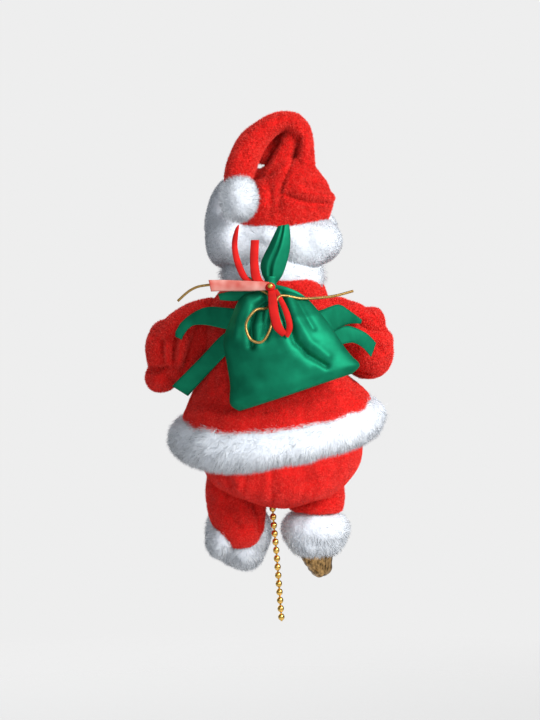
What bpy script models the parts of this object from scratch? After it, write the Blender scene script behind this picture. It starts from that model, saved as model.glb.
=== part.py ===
# Musical hanging santa: a plush figure that climbs a ball chain, with a sack on its back
#
# Metres, +Z up. The figure looks along -Y, so +X is on its own left side. The origin is the top of the
# hanging ring, which hangs from a hook. Every piece is modelled from the seat of the trousers, and the empty
# "figure" hangs that point below the ring.

from math import cos, pi, sin, sqrt, tan

import bmesh
import bpy
from mathutils import Matrix, Vector

# Driving sizes

GAP = 0.0003                    # running gap between neighbours
SEAT_TO_RING = 0.189            # seat of the trousers to the top of the hanging ring
WALL = 0.0018                   # wall of the housing

# Chain

CHAIN_FRONT = 0.051             # upper chain, in front of the figure's middle plane
CHAIN_RADIUS = 0.0017           # beads of 3.4 mm
CHAIN_PITCH = 0.0043            # from bead to bead
CHAIN_SPACING = 0.0075          # between the points of a route: about two diameters
WHEEL_BEADS = 12                # beads round the chain wheel
WHEEL_SPACING = 0.0032          # closer round the chain wheel
WHEEL_PITCH_RADIUS = WHEEL_BEADS * CHAIN_PITCH / (2 * pi)
PORT_RADIUS = 0.0026            # holes that the chain runs through
CHEST_PORT_Z = 0.051
HANK_TOP = 0.0690
HANK_BOTTOM = 0.0230
HANK_Y = -CHAIN_FRONT - 0.0005
HANK_COLUMNS = 4
HANK_STEP = 2 * CHAIN_RADIUS + 0.0006
TIE_Z = 0.0600
RING_RADIUS = 0.0052
RING_WIRE = 0.0006
CHAIN_TOP_Z = SEAT_TO_RING - 2 * RING_RADIUS - RING_WIRE

# Motor and gears; their axles lie in one upright plane

GEAR_MODULE = 0.0005
WHEEL_TEETH = 30
PINION_TEETH = 10
PINION_GAP_DOWN = -pi / 2 + pi / PINION_TEETH
WHEEL_TOOTH_UP = pi / 2
AXLE_STEP = GEAR_MODULE * (WHEEL_TEETH + PINION_TEETH) / 2
DRIVE_Y = -0.008
DRIVE_Z = 0.034
SECOND_Z = DRIVE_Z + AXLE_STEP
FIRST_Z = SECOND_Z + AXLE_STEP
MOTOR_Z = FIRST_Z + AXLE_STEP
CHAIN_DOWN_Y = DRIVE_Y + WHEEL_PITCH_RADIUS
SHAFT_RADIUS = 0.0015
PIN_RADIUS = 0.001
HUB_RADIUS = 0.0034
MOTOR_LENGTH = 0.025
MOTOR_DEPTH = 0.020
MOTOR_HEIGHT = 0.015
MOTOR_CORNER = 0.005

# Places along the axles, from the chain's middle outwards

PLATE_X = 0.0053
PLATE_THICKNESS = 0.0013
DRIVE_GEAR_X = 0.0076
DRIVE_GEAR_WIDTH = 0.0018
SECOND_PINION_X = 0.0073
SECOND_WHEEL_X = 0.0114
FIRST_PINION_X = 0.0111
FIRST_WHEEL_X = 0.0155
GEAR_WIDTH = 0.0018
PINION_WIDTH = 0.0024
MOTOR_CLEARANCE = 0.0007        # from the motor's end to the rod that passes it
ROD_THICKNESS = 0.0009
ROD_X = MOTOR_LENGTH - PLATE_X + GAP + MOTOR_CLEARANCE
TAIL_THICKNESS = 0.0010
LEG_TAIL_X = ROD_X - GAP - TAIL_THICKNESS
CRANK_THICKNESS = 0.0012
CRANK_X = LEG_TAIL_X - CRANK_THICKNESS - 0.0004
CRANK_THROW = 0.0025
CRANK_RADIUS = 0.0052

# Housing

INNER_HALF_WIDTH = ROD_X + ROD_THICKNESS + 2 * GAP
HOUSING_HALF_WIDTH = INNER_HALF_WIDTH + WALL
HOUSING_FRONT = -0.030
HOUSING_SPLIT = 0.004
HOUSING_BACK = 0.0226
HOUSING_BOTTOM = 0.012
HOUSING_TOP = 0.098
CORNER = 0.010                  # upright corners of the housing
NECK_RADIUS = 0.007
NECK_Y = -0.005
NECK_TOP = 0.114
SCREW_RADIUS = 0.0012
SCREW_HEAD_RADIUS = 0.0024
SCREW_HEAD = 0.0016
SCREW_END_Y = -0.004
LOWER_SCREW_X = 0.0125
BOSS_HALF = 0.0034

# Batteries, sound and switch

CELL_RADIUS = 0.00725           # two AA cells
CELL_LENGTH = 0.0495
CELL_NUB_RADIUS = 0.0027
CELL_NUB = 0.001
CELL_SPACING = 0.016
CELL_Y = 0.0134
CONTACT = 0.0005                # sheet of the battery contacts
BAY_BOTTOM = 0.0215
CELL_BOTTOM = BAY_BOTTOM + 0.0037
BAY_TOP = CELL_BOTTOM + CELL_LENGTH + CELL_NUB + 0.0043
BAY_HALF_WIDTH = CELL_SPACING / 2 + CELL_RADIUS + 0.00095
BAY_FLOOR_Y = CELL_Y - CELL_RADIUS - 0.00035
DOOR_HALF_WIDTH = BAY_HALF_WIDTH + 0.0014
DOOR_LOW = BAY_BOTTOM - 0.0015
DOOR_HIGH = BAY_TOP + 0.002
DOOR_Y = HOUSING_BACK + GAP
DOOR_THICKNESS = 0.0015
DOOR_TRAVEL = 0.008
RAIL_WIDTH = 0.002
SWITCH_X = -0.0100
SWITCH_Z = 0.0215
SWITCH_SLOT_HALF = 0.0038
BOARD_Y = -0.0240
BOARD_THICKNESS = 0.0010
SPEAKER_RADIUS = 0.012
SPEAKER_Z = 0.070

# Limbs

SHOULDER_Y = 0.0
SHOULDER_Z = 0.088
SHOULDER = (0, SHOULDER_Y, SHOULDER_Z)
SHOULDER_SEAM = 0.033           # the sleeves begin this far from the middle
ROCKER = 0.012                  # arm of the rocker inside the housing
LIMB_SHAFT_RADIUS = 0.002
ARM_BAR_RADIUS = 0.0022
ARM_ROUTE = [(0.0335, 0.0, SHOULDER_Z), (0.0420, 0.0, 0.0860), (0.0490, -0.0020, 0.0770),
             (0.0495, -0.0120, 0.0710), (0.0475, -0.0260, 0.0715), (0.0410, -0.0410, 0.0770),
             (0.0310, -0.0485, 0.0850), (0.0220, -0.0505, 0.0915)]
HIP_Y = DRIVE_Y
HIP_Z = 0.0175
HIP = (0, HIP_Y, HIP_Z)
LEG_SWEEP_RADIUS = 0.0172       # the legs begin this far from the hip axis
LEG_BAR_RADIUS = 0.0022
LEG_BAR_X = HOUSING_HALF_WIDTH + LEG_BAR_RADIUS + 0.001
LEG_ROUTES = {
    1: [(LEG_BAR_X, HIP_Y, HIP_Z), (LEG_BAR_X, -0.009, 0.003), (LEG_BAR_X - 0.0017, -0.011, -0.004),
        (0.0215, -0.014, -0.012)],
    -1: [(-LEG_BAR_X, HIP_Y, HIP_Z), (-LEG_BAR_X, -0.009, 0.003), (0.001 - LEG_BAR_X, -0.010, -0.0035)],
}

# Clothes and trim

SHOULDER_ROOM = [               # (radius, height) about the shoulder axis, kept clear of the sleeves
    (0, SHOULDER_SEAM), (0.018, SHOULDER_SEAM), (0.026, 0.0355), (0.033, 0.0405), (0.0405, 0.0405),
    (0.0405, 0), (0, 0),
]
CLOTH_POWER = 3.0               # roundness of the body's outline from above: 2 is an ellipse
CLOTH_GAP = 0.0006              # between soft pieces
HEM_WALL = 0.009
HEM_GAP = 0.0014
STRAP_HALF = 0.0048
STRAP_THICKNESS = 0.0006
STRAP_BACK_Y = 0.0328           # the straps lie flat on the back of the jacket
STRAP_LOW = 0.0700
SACK_RIBBON_Y = 0.0446
CORD_RADIUS = 0.0008

FINISH = {
    "shell": ((0.75, 0.74, 0.70), 0.45),
    "gear": ((0.85, 0.83, 0.76), 0.40),
    "steel": ((0.62, 0.62, 0.64), 0.30, 1.0),
    "gold": ((0.83, 0.58, 0.20), 0.22, 1.0),
    "red": ((0.72, 0.03, 0.03), 0.85),
    "white": ((0.88, 0.90, 0.94), 0.95),
    "green": ((0.02, 0.26, 0.16), 0.38),
}


# Scene, materials and placing

def clear_scene():
    for item in list(bpy.data.objects):
        bpy.data.objects.remove(item)


def new_collection(name):
    collection = bpy.data.collections.new(name)
    bpy.context.scene.collection.children.link(collection)
    return collection


def give_material(item, colour, roughness, metallic=0.0):
    material = bpy.data.materials.new(item.name + "_finish")
    material.use_nodes = True
    shader = material.node_tree.nodes["Principled BSDF"]
    shader.inputs["Base Color"].default_value = (*colour, 1.0)
    shader.inputs["Roughness"].default_value = roughness
    shader.inputs["Metallic"].default_value = metallic
    item.data.materials.clear()
    item.data.materials.append(material)


def shade_round(mesh, angle=0.6):
    mesh.shade_smooth()
    mesh.set_sharp_from_angle(angle=angle)


def turn_about(item, pivot):
    """Puts the origin of a piece on the axis that it turns about."""
    item.data.transform(Matrix.Translation(pivot).inverted() @ item.matrix_basis)
    item.matrix_basis = Matrix.Translation(pivot)


def as_part(item, name, finish, pivot=None):
    """Puts a finished shape among the parts, under its name and with its own material."""
    if pivot:
        turn_about(item, pivot)
    item.name = name
    item.data.name = name
    parts.objects.link(item)
    item.parent = figure
    give_material(item, *finish)
    return item


def as_cutter(item):
    """Keeps a shape that only cuts or joins others out of sight."""
    cutters.objects.link(item)
    item.parent = figure
    item.hide_render = True
    item.display_type = "WIRE"
    return item


def object_from(mesh_builder, name, place=(0, 0, 0)):
    mesh = bpy.data.meshes.new(name)
    mesh_builder.to_mesh(mesh)
    mesh_builder.free()
    shade_round(mesh)
    item = bpy.data.objects.new(name, mesh)
    item.location = place
    return item


# Plain shapes

def box(low, high):
    """A box between two corners."""
    low, high = Vector(low), Vector(high)
    shape = bmesh.new()
    size = high - low
    middle = (low + high) / 2
    bmesh.ops.create_cube(shape, size=1, matrix=Matrix.Translation(middle) @ Matrix.Diagonal((*size, 1)))
    return object_from(shape, "box")


TURN_TO = {
    "X": Matrix(((0, 0, 1), (1, 0, 0), (0, 1, 0))).to_4x4(),
    "Y": Matrix(((1, 0, 0), (0, 0, 1), (0, -1, 0))).to_4x4(),
    "Z": Matrix.Identity(4),
}


def cylinder(axis, start, length, radius, sides=20, end_radius=None):
    """A cylinder or cone from start along +X, +Y or +Z."""
    shape = bmesh.new()
    bmesh.ops.create_cone(shape, cap_ends=True, segments=sides, radius1=radius,
                          radius2=radius if end_radius is None else end_radius, depth=length)
    bmesh.ops.translate(shape, vec=(0, 0, length / 2), verts=shape.verts)
    bmesh.ops.transform(shape, matrix=Matrix.Translation(start) @ TURN_TO[axis], verts=shape.verts)
    return object_from(shape, "cylinder")


def turned(axis, start, profile, steps=24):
    """A turned solid: (radius, height) points from top to bottom, closed at the axis at both ends."""
    shape = bmesh.new()
    corners = [shape.verts.new((radius, 0, height)) for radius, height in profile]
    for upper, lower in zip(corners, corners[1:]):
        shape.edges.new((upper, lower))
    mesh = bpy.data.meshes.new("turned")
    shape.to_mesh(mesh)
    shape.free()
    item = bpy.data.objects.new("turned", mesh)
    item.matrix_world = Matrix.Translation(start) @ TURN_TO[axis]
    screw = item.modifiers.new("turn", "SCREW")
    screw.steps = steps
    screw.render_steps = steps
    screw.use_merge_vertices = True
    screw.merge_threshold = 0.00001
    screw.use_smooth_shade = False
    return item


def ball(centre, radii, rings=12, segments=16):
    shape = bmesh.new()
    bmesh.ops.create_uvsphere(shape, u_segments=segments, v_segments=rings, radius=1)
    bmesh.ops.transform(shape, matrix=Matrix.Translation(centre) @ Matrix.Diagonal((*radii, 1)),
                        verts=shape.verts)
    return object_from(shape, "ball")


def as_mesh(item, merge_flat=True):
    """Turns a curve object into a welded mesh object in the same place."""
    bpy.context.scene.collection.objects.link(item)
    bpy.context.view_layer.update()
    mesh = bpy.data.meshes.new_from_object(item.evaluated_get(bpy.context.evaluated_depsgraph_get()))
    shape = bmesh.new()
    shape.from_mesh(mesh)
    bmesh.ops.remove_doubles(shape, verts=shape.verts, dist=0.00001)
    bmesh.ops.recalc_face_normals(shape, faces=shape.faces)
    if merge_flat:
        bmesh.ops.dissolve_limit(shape, angle_limit=0.01, verts=shape.verts, edges=shape.edges)
    matrix = item.matrix_world.copy()
    bpy.data.objects.remove(item)
    result = object_from(shape, "converted")
    result.matrix_world = matrix
    return result


def flat_piece(axis, start, outlines, thickness):
    """A plate of the given thickness from start along the axis; outlines after the first are holes."""
    curve = bpy.data.curves.new("outline", "CURVE")
    curve.dimensions = "2D"
    curve.fill_mode = "BOTH"
    curve.extrude = thickness / 2
    for outline in outlines:
        spline = curve.splines.new("POLY")
        spline.points.add(len(outline) - 1)
        for point, (u, v) in zip(spline.points, outline):
            point.co = (u, v, 0, 1)
        spline.use_cyclic_u = True
    item = bpy.data.objects.new("outline", curve)
    lift = Matrix.Translation((0, 0, thickness / 2))
    item.matrix_world = Matrix.Translation(start) @ TURN_TO[axis] @ lift
    return as_mesh(item, merge_flat=False)


def circle(radius, sides, centre=(0, 0)):
    turn = 2 * pi / sides
    return [(centre[0] + radius * cos(i * turn), centre[1] + radius * sin(i * turn)) for i in range(sides)]


def rounded_slot(centre, half_width, half_length, steps=5):
    """An upright slot with round ends."""
    points = []
    for sign, first in ((1, 0), (-1, pi)):
        for i in range(steps + 1):
            angle = first + i * pi / steps
            points.append((centre[0] + half_width * cos(angle),
                           centre[1] + sign * half_length + half_width * sin(angle)))
    return points


# Joining and cutting

def boolean(item, other, operation, solver="EXACT"):
    step = item.modifiers.new(operation.lower(), "BOOLEAN")
    step.operation = operation
    step.object = other
    step.solver = solver


def cut(item, *others):
    for other in others:
        boolean(item, as_cutter(other), "DIFFERENCE")
    return item


def join(item, *others):
    for other in others:
        boolean(item, as_cutter(other), "UNION")
    return item


def swollen(item, gap):
    """Makes a shape larger by the gap all round."""
    swell = item.modifiers.new("room", "DISPLACE")
    swell.strength = gap
    swell.mid_level = 0
    return item


def grown(item, gap):
    """A cutter of the same shape as a finished part, larger by the gap all round."""
    copy = item.copy()
    copy.name = item.name + "_room"
    return swollen(copy, gap)


def room_for(item, *neighbours, gap=CLOTH_GAP):
    """Cuts a part by its neighbours, leaving the gap."""
    return cut(item, *[grown(neighbour, gap) for neighbour in neighbours])


# Routes and soft forms

def smooth_route(points, spacing):
    """Points about a spacing apart on a smooth curve through the given points; more columns ride along."""
    points = [tuple(p) for p in points]
    padded = [points[0]] + points + [points[-1]]
    dense = []
    fine = 24
    for a, b, c, d in zip(padded, padded[1:], padded[2:], padded[3:]):
        for i in range(fine):
            t = i / fine
            dense.append(tuple(
                0.5 * (2 * q + (r - p) * t + (2 * p - 5 * q + 4 * r - s) * t * t
                       + (3 * q - p - 3 * r + s) * t ** 3)
                for p, q, r, s in zip(a, b, c, d)))
    dense.append(points[-1])
    lengths = [0.0]
    for a, b in zip(dense, dense[1:]):
        lengths.append(lengths[-1] + (Vector(b[:3]) - Vector(a[:3])).length)
    count = max(2, round(lengths[-1] / spacing))
    route = []
    index = 0
    for i in range(count + 1):
        wanted = lengths[-1] * i / count
        while index < len(dense) - 2 and lengths[index + 1] < wanted:
            index += 1
        step = max(lengths[index + 1] - lengths[index], 1e-12)
        t = min(1.0, (wanted - lengths[index]) / step)
        route.append(tuple(p + (q - p) * t for p, q in zip(dense[index], dense[index + 1])))
    return route


def route_length(route):
    return sum((Vector(b[:3]) - Vector(a[:3])).length for a, b in zip(route, route[1:]))


def tube(route, radius, resolution=2):
    """A round tube along a list of points; a fourth column of a point scales the radius there."""
    curve = bpy.data.curves.new("tube", "CURVE")
    curve.dimensions = "3D"
    curve.bevel_depth = radius
    curve.bevel_resolution = resolution
    curve.use_fill_caps = True
    spline = curve.splines.new("POLY")
    spline.points.add(len(route) - 1)
    for point, place in zip(spline.points, route):
        point.co = (*place[:3], 1)
        if len(place) > 3:
            point.radius = place[3] / radius
    return bpy.data.objects.new("tube", curve)


def swelling(stations, spacing, resolution=2):
    """A stuffed limb: stations are (x, y, z, radius)."""
    return as_mesh(tube(smooth_route(stations, spacing), stations[0][3], resolution))


def level(x, y):
    """The rise of a section that stays level."""
    return 0.0


def ring_at(sides, power, rise, z, centre_x, half_width, front, back, share=1.0):
    """A ring of points, rounder or squarer by its power, that follows a share of a rise."""
    middle = (front + back) / 2
    depth = (back - front) / 2
    points = []
    for i in range(sides):
        angle = 2 * pi * i / sides
        c, s = cos(angle), sin(angle)
        x = centre_x + half_width * abs(c) ** (2 / power) * (1 if c >= 0 else -1)
        y = middle + depth * abs(s) ** (2 / power) * (1 if s >= 0 else -1)
        points.append((x, y, z + share * rise(x, y)))
    return points


def loft(rings, levels=1):
    """A closed soft form over a stack of rings, given from the bottom up, smoothed by subdivision."""
    shape = bmesh.new()
    loops = [[shape.verts.new(point) for point in ring] for ring in rings]
    for lower, upper in zip(loops, loops[1:]):
        for i in range(len(lower)):
            j = (i + 1) % len(lower)
            shape.faces.new((lower[i], lower[j], upper[j], upper[i]))
    shape.faces.new(list(reversed(loops[0])))
    shape.faces.new(loops[-1])
    item = object_from(shape, "loft")
    if levels:
        smooth = item.modifiers.new("soft", "SUBSURF")
        smooth.levels = levels
        smooth.render_levels = levels
    return item


def stack(sections, sides=12, power=2.0, rise=level):
    """A soft form from sections (height, centre x, half width, front, back, share of the rise)."""
    return loft([ring_at(sides, power, rise, *section) for section in sections])


def strip(route, widths, thickness):
    """A ribbon along a route: each width vector points from its middle line to one edge."""
    shape = bmesh.new()
    rows = []
    for place, width in zip(route, widths):
        middle, width = Vector(place[:3]), Vector(width)
        rows.append((shape.verts.new(middle - width), shape.verts.new(middle + width)))
    for (a, b), (c, d) in zip(rows, rows[1:]):
        shape.faces.new((a, b, d, c))
    item = object_from(shape, "strip")
    wall = item.modifiers.new("cloth", "SOLIDIFY")
    wall.thickness = thickness
    wall.offset = 0
    return item


# Gears

def gear_outline(teeth, phase):
    """Teeth of the common module, with a little backlash; the phase turns the first tooth from +Y to +Z."""
    pitch_radius = GEAR_MODULE * teeth / 2
    root = pitch_radius - 1.2 * GEAR_MODULE
    tip = pitch_radius + 0.75 * GEAR_MODULE
    half_tooth = 0.38 * pi / teeth
    slope = tan(0.42)
    points = []
    for tooth in range(teeth):
        middle = phase + 2 * pi * tooth / teeth
        for side in (-1, 1):
            edge = []
            for radius in (root, tip):
                flank = half_tooth - (radius - pitch_radius) * slope / pitch_radius
                edge.append((radius, middle + side * flank))
            if side > 0:
                edge.reverse()
            points.extend((radius * cos(angle), radius * sin(angle)) for radius, angle in edge)
    return points


def gear(start_x, z, teeth, width, phase=0.0):
    return flat_piece("X", (start_x, DRIVE_Y, z), [gear_outline(teeth, phase)], width)


def housing_shell(front, back, open_front):
    """One half of the housing: a rounded tray, open where the halves meet."""
    low, high = (-HOUSING_HALF_WIDTH, front, HOUSING_BOTTOM), (HOUSING_HALF_WIDTH, back, HOUSING_TOP)
    shell = box(low, high)
    shape = bmesh.new()
    shape.from_mesh(shell.data)
    corner_y = back if open_front else front
    upright = [e for e in shape.edges
               if all(abs(v.co.y - corner_y) < GAP for v in e.verts)
               and abs(e.verts[0].co.z - e.verts[1].co.z) > WALL]
    bmesh.ops.bevel(shape, geom=upright, offset=CORNER if not open_front else WALL, segments=4,
                    affect="EDGES", profile=0.5)
    shape.to_mesh(shell.data)
    shape.free()
    return shell


def screw_places():
    """(x, z) of the two screws that hold the housing's halves together."""
    return {"upper": (0.0, HOUSING_TOP - 0.0065), "lower": (LOWER_SCREW_X, HOUSING_BOTTOM + 0.0048)}


def build_front_housing():
    shell = housing_shell(HOUSING_FRONT, HOUSING_SPLIT, False)
    hollow = housing_shell(HOUSING_FRONT + WALL, HOUSING_SPLIT + WALL, False)
    squeeze = Matrix.Diagonal((INNER_HALF_WIDTH / HOUSING_HALF_WIDTH, 1, 1, 1))
    hollow.data.transform(squeeze)
    middle_z = (HOUSING_TOP + HOUSING_BOTTOM) / 2
    height = HOUSING_TOP - HOUSING_BOTTOM
    hollow.data.transform(Matrix.Translation((0, 0, middle_z))
                          @ Matrix.Diagonal((1, 1, (height - 2 * WALL) / height, 1))
                          @ Matrix.Translation((0, 0, -middle_z)))
    cut(shell, hollow)
    join(shell, cylinder("Z", (0, NECK_Y, HOUSING_TOP - WALL / 2), NECK_TOP - HOUSING_TOP, NECK_RADIUS))
    for name, (x, z) in screw_places().items():
        roof = HOUSING_TOP - WALL / 2 if name == "upper" else z + BOSS_HALF
        floor = z - BOSS_HALF if name == "upper" else HOUSING_BOTTOM + WALL / 2
        join(shell, box((x - BOSS_HALF, SCREW_END_Y - 0.003, floor), (x + BOSS_HALF, HOUSING_SPLIT, roof)))
        cut(shell, cylinder("Y", (x, SCREW_END_Y - GAP, z), 0.03, SCREW_RADIUS + GAP, 12))
    bearing_low, bearing_high = -0.0072, -0.0058
    join(shell, box((bearing_low, HOUSING_FRONT + WALL / 2, HOUSING_BOTTOM + WALL / 2),
                    (bearing_high, -0.001, DRIVE_Z + 0.009)))
    cut(shell, cylinder("X", (bearing_low - 0.001, DRIVE_Y, DRIVE_Z), 0.004, SHAFT_RADIUS + GAP, 16))
    cut(shell, cylinder("Y", (0, HOUSING_FRONT - 0.001, CHEST_PORT_Z), 0.005, PORT_RADIUS, 16))
    cut(shell, cylinder("Z", (0, CHAIN_DOWN_Y, HOUSING_BOTTOM - 0.001), 0.005, PORT_RADIUS, 16))
    for side in (-1, 1):
        start = side * (HOUSING_HALF_WIDTH + 0.001) if side < 0 else INNER_HALF_WIDTH - 0.001
        for y, z in ((SHOULDER_Y, SHOULDER_Z), (HIP_Y, HIP_Z)):
            cut(shell, cylinder("X", (start, y, z), WALL + 0.002, LIMB_SHAFT_RADIUS + GAP, 16))
    for i in range(5):
        z = SPEAKER_Z - 0.008 + i * 0.004
        half = sqrt(max(0.0, (SPEAKER_RADIUS - 0.003) ** 2 - (z - SPEAKER_Z) ** 2))
        cut(shell, box((-half, HOUSING_FRONT - 0.001, z - 0.0006), (half, HOUSING_FRONT + WALL + 0.001,
                                                                    z + 0.0006)))
    cut(shell, box((SWITCH_X - SWITCH_SLOT_HALF, HOUSING_FRONT - 0.001, SWITCH_Z - 0.0022),
                   (SWITCH_X + SWITCH_SLOT_HALF, HOUSING_FRONT + WALL + 0.001, SWITCH_Z + 0.0022)))
    return as_part(shell, "front_housing", FINISH["shell"])


def build_rear_housing():
    front = HOUSING_SPLIT + GAP
    shell = housing_shell(front, HOUSING_BACK, True)
    cut(shell, box((-BAY_HALF_WIDTH, BAY_FLOOR_Y, BAY_BOTTOM), (BAY_HALF_WIDTH, HOUSING_BACK + 0.001,
                                                                BAY_TOP)))
    inner_back = HOUSING_BACK - WALL
    low, high = HOUSING_BOTTOM + WALL, HOUSING_TOP - WALL
    pockets = [
        (-INNER_HALF_WIDTH, -BOSS_HALF, BAY_TOP + WALL, high),
        (BOSS_HALF, INNER_HALF_WIDTH, BAY_TOP + WALL, high),
        (-INNER_HALF_WIDTH, LOWER_SCREW_X - BOSS_HALF, low, BAY_BOTTOM - WALL),
        (LOWER_SCREW_X + BOSS_HALF, INNER_HALF_WIDTH, low, BAY_BOTTOM - WALL),
        (-INNER_HALF_WIDTH, -BAY_HALF_WIDTH - WALL, BAY_BOTTOM, BAY_TOP),
        (BAY_HALF_WIDTH + WALL, INNER_HALF_WIDTH, BAY_BOTTOM, BAY_TOP),
    ]
    for x_low, x_high, z_low, z_high in pockets:
        cut(shell, box((x_low, front - 0.001, z_low), (x_high, inner_back, z_high)))
    for x, z in screw_places().values():
        cut(shell, cylinder("Y", (x, front - 0.001, z), 0.03, SCREW_RADIUS + GAP, 12),
            cylinder("Y", (x, HOUSING_BACK - SCREW_HEAD - GAP, z), 0.01, SCREW_HEAD_RADIUS + GAP, 16))
    lip_y = DOOR_Y + DOOR_THICKNESS + GAP
    for side in (-1, 1):
        wall_x = sorted((side * (DOOR_HALF_WIDTH + GAP), side * (DOOR_HALF_WIDTH + GAP + RAIL_WIDTH)))
        lip_x = sorted((side * (DOOR_HALF_WIDTH - 0.0012), side * (DOOR_HALF_WIDTH + GAP + 0.001)))
        rail = box((wall_x[0], HOUSING_BACK - WALL / 2, DOOR_LOW), (wall_x[1], lip_y + 0.0008, DOOR_HIGH))
        lip = box((lip_x[0], lip_y, DOOR_LOW + 0.002), (lip_x[1], lip_y + 0.0007, DOOR_HIGH - 0.002))
        join(shell, rail, lip)
    return as_part(shell, "rear_housing", FINISH["shell"])


def build_housing_screws():
    for name, (x, z) in screw_places().items():
        length = HOUSING_BACK - SCREW_END_Y
        profile = [(0, length), (SCREW_HEAD_RADIUS, length), (SCREW_HEAD_RADIUS, length - SCREW_HEAD),
                   (SCREW_RADIUS, length - SCREW_HEAD), (SCREW_RADIUS, SCREW_RADIUS), (0, 0)]
        screw = turned("Y", (x, SCREW_END_Y, z), profile, 12)
        cut(screw, box((x - SCREW_HEAD_RADIUS * 0.7, HOUSING_BACK - 0.0007, z - 0.0003),
                       (x + SCREW_HEAD_RADIUS * 0.7, HOUSING_BACK + 0.001, z + 0.0003)))
        as_part(screw, f"housing_screw_{name}", FINISH["steel"])


def build_battery_door():
    door = box((-DOOR_HALF_WIDTH, DOOR_Y, DOOR_LOW), (DOOR_HALF_WIDTH, DOOR_Y + DOOR_THICKNESS, DOOR_HIGH))
    for i in range(3):
        z = DOOR_HIGH - 0.009 + i * 0.0025
        join(door, box((-0.007, DOOR_Y + DOOR_THICKNESS / 2, z - 0.0004),
                       (0.007, DOOR_Y + DOOR_THICKNESS + 0.0007, z + 0.0004)))
    return as_part(door, "battery_door", FINISH["shell"])


def build_batteries():
    for name, side in (("left", 1), ("right", -1)):
        profile = [(0, CELL_LENGTH + CELL_NUB), (CELL_NUB_RADIUS, CELL_LENGTH + CELL_NUB),
                   (CELL_NUB_RADIUS, CELL_LENGTH), (CELL_RADIUS, CELL_LENGTH), (CELL_RADIUS, 0), (0, 0)]
        if side < 0:
            profile = [(radius, CELL_LENGTH + CELL_NUB - z) for radius, z in reversed(profile)]
        cell = turned("Z", (side * CELL_SPACING / 2, CELL_Y, CELL_BOTTOM), profile, 16)
        as_part(cell, f"battery_{name}", ((0.10, 0.22, 0.36), 0.35, 0.4))



def build_contacts():
    left, right = CELL_SPACING / 2, -CELL_SPACING / 2
    cell_top = CELL_BOTTOM + CELL_LENGTH + CELL_NUB
    half = 0.0055
    bridge_top = BAY_BOTTOM + GAP + CONTACT
    bridge = box((right - half, CELL_Y - half, BAY_BOTTOM + GAP), (left + half, CELL_Y + half, bridge_top))
    join(bridge, cylinder("Z", (left, CELL_Y, bridge_top - CONTACT / 2), CELL_BOTTOM - GAP - bridge_top
                          + CONTACT / 2, 0.0045, 16, 0.0028))
    join(bridge, cylinder("Z", (right, CELL_Y, bridge_top - CONTACT / 2), CELL_BOTTOM - GAP - bridge_top
                          + CONTACT / 2, 0.0030, 16, 0.0016))
    as_part(bridge, "battery_bridge_contact", FINISH["steel"])
    plate_bottom = BAY_TOP - GAP - CONTACT
    for name, x, base, tip in (("battery_positive_contact", left, 0.0030, 0.0018),
                               ("battery_negative_spring", right, 0.0045, 0.0028)):
        plate = box((x - half, CELL_Y - half, plate_bottom), (x + half, CELL_Y + half, BAY_TOP - GAP))
        join(plate, cylinder("Z", (x, CELL_Y, cell_top + GAP), plate_bottom + CONTACT / 2 - cell_top - GAP,
                             tip, 16, base))
        as_part(plate, name, FINISH["steel"])


# Drive

def build_gear_plate():
    """The bulkhead beside the chain wheel. Its two pins carry the middle gears."""
    floor = HOUSING_BOTTOM + WALL + GAP
    front = HOUSING_FRONT + WALL + GAP
    split = HOUSING_SPLIT
    notch_low, notch_back = SPEAKER_Z - SPEAKER_RADIUS - 0.001, -0.0195
    outline = [(front, floor), (split, floor), (split, MOTOR_Z + 0.009), (notch_back, MOTOR_Z + 0.009),
               (notch_back, notch_low), (front, notch_low)]
    holes = [
        circle(HUB_RADIUS + GAP, 16, (DRIVE_Y, DRIVE_Z)),
        circle(0.0036, 14, (DRIVE_Y, MOTOR_Z)),
    ]
    plate = flat_piece("X", (PLATE_X, 0, 0), [outline] + holes, PLATE_THICKNESS)
    for z, end in ((SECOND_Z, SECOND_WHEEL_X + GEAR_WIDTH), (FIRST_Z, FIRST_WHEEL_X + GEAR_WIDTH)):
        start = PLATE_X + 0.4 * PLATE_THICKNESS
        join(plate, cylinder("X", (start, DRIVE_Y, z), end - start, PIN_RADIUS, 10))
    return as_part(plate, "gear_plate", FINISH["shell"])


def compound_gear(name, z, wheel_x, pinion_x):
    """A wheel and its pinion, moulded as one, turning on a pin."""
    wheel = gear(wheel_x, z, WHEEL_TEETH, GEAR_WIDTH, WHEEL_TOOTH_UP)
    pinion_end = wheel_x + GEAR_WIDTH / 2
    pinion = gear(pinion_x, z, PINION_TEETH, pinion_end - pinion_x, PINION_GAP_DOWN)
    join(wheel, pinion)
    cut(wheel, cylinder("X", (pinion_x - 0.001, DRIVE_Y, z), 0.02, PIN_RADIUS + GAP, 12))
    return as_part(wheel, name, FINISH["gear"], (0, DRIVE_Y, z))


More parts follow.
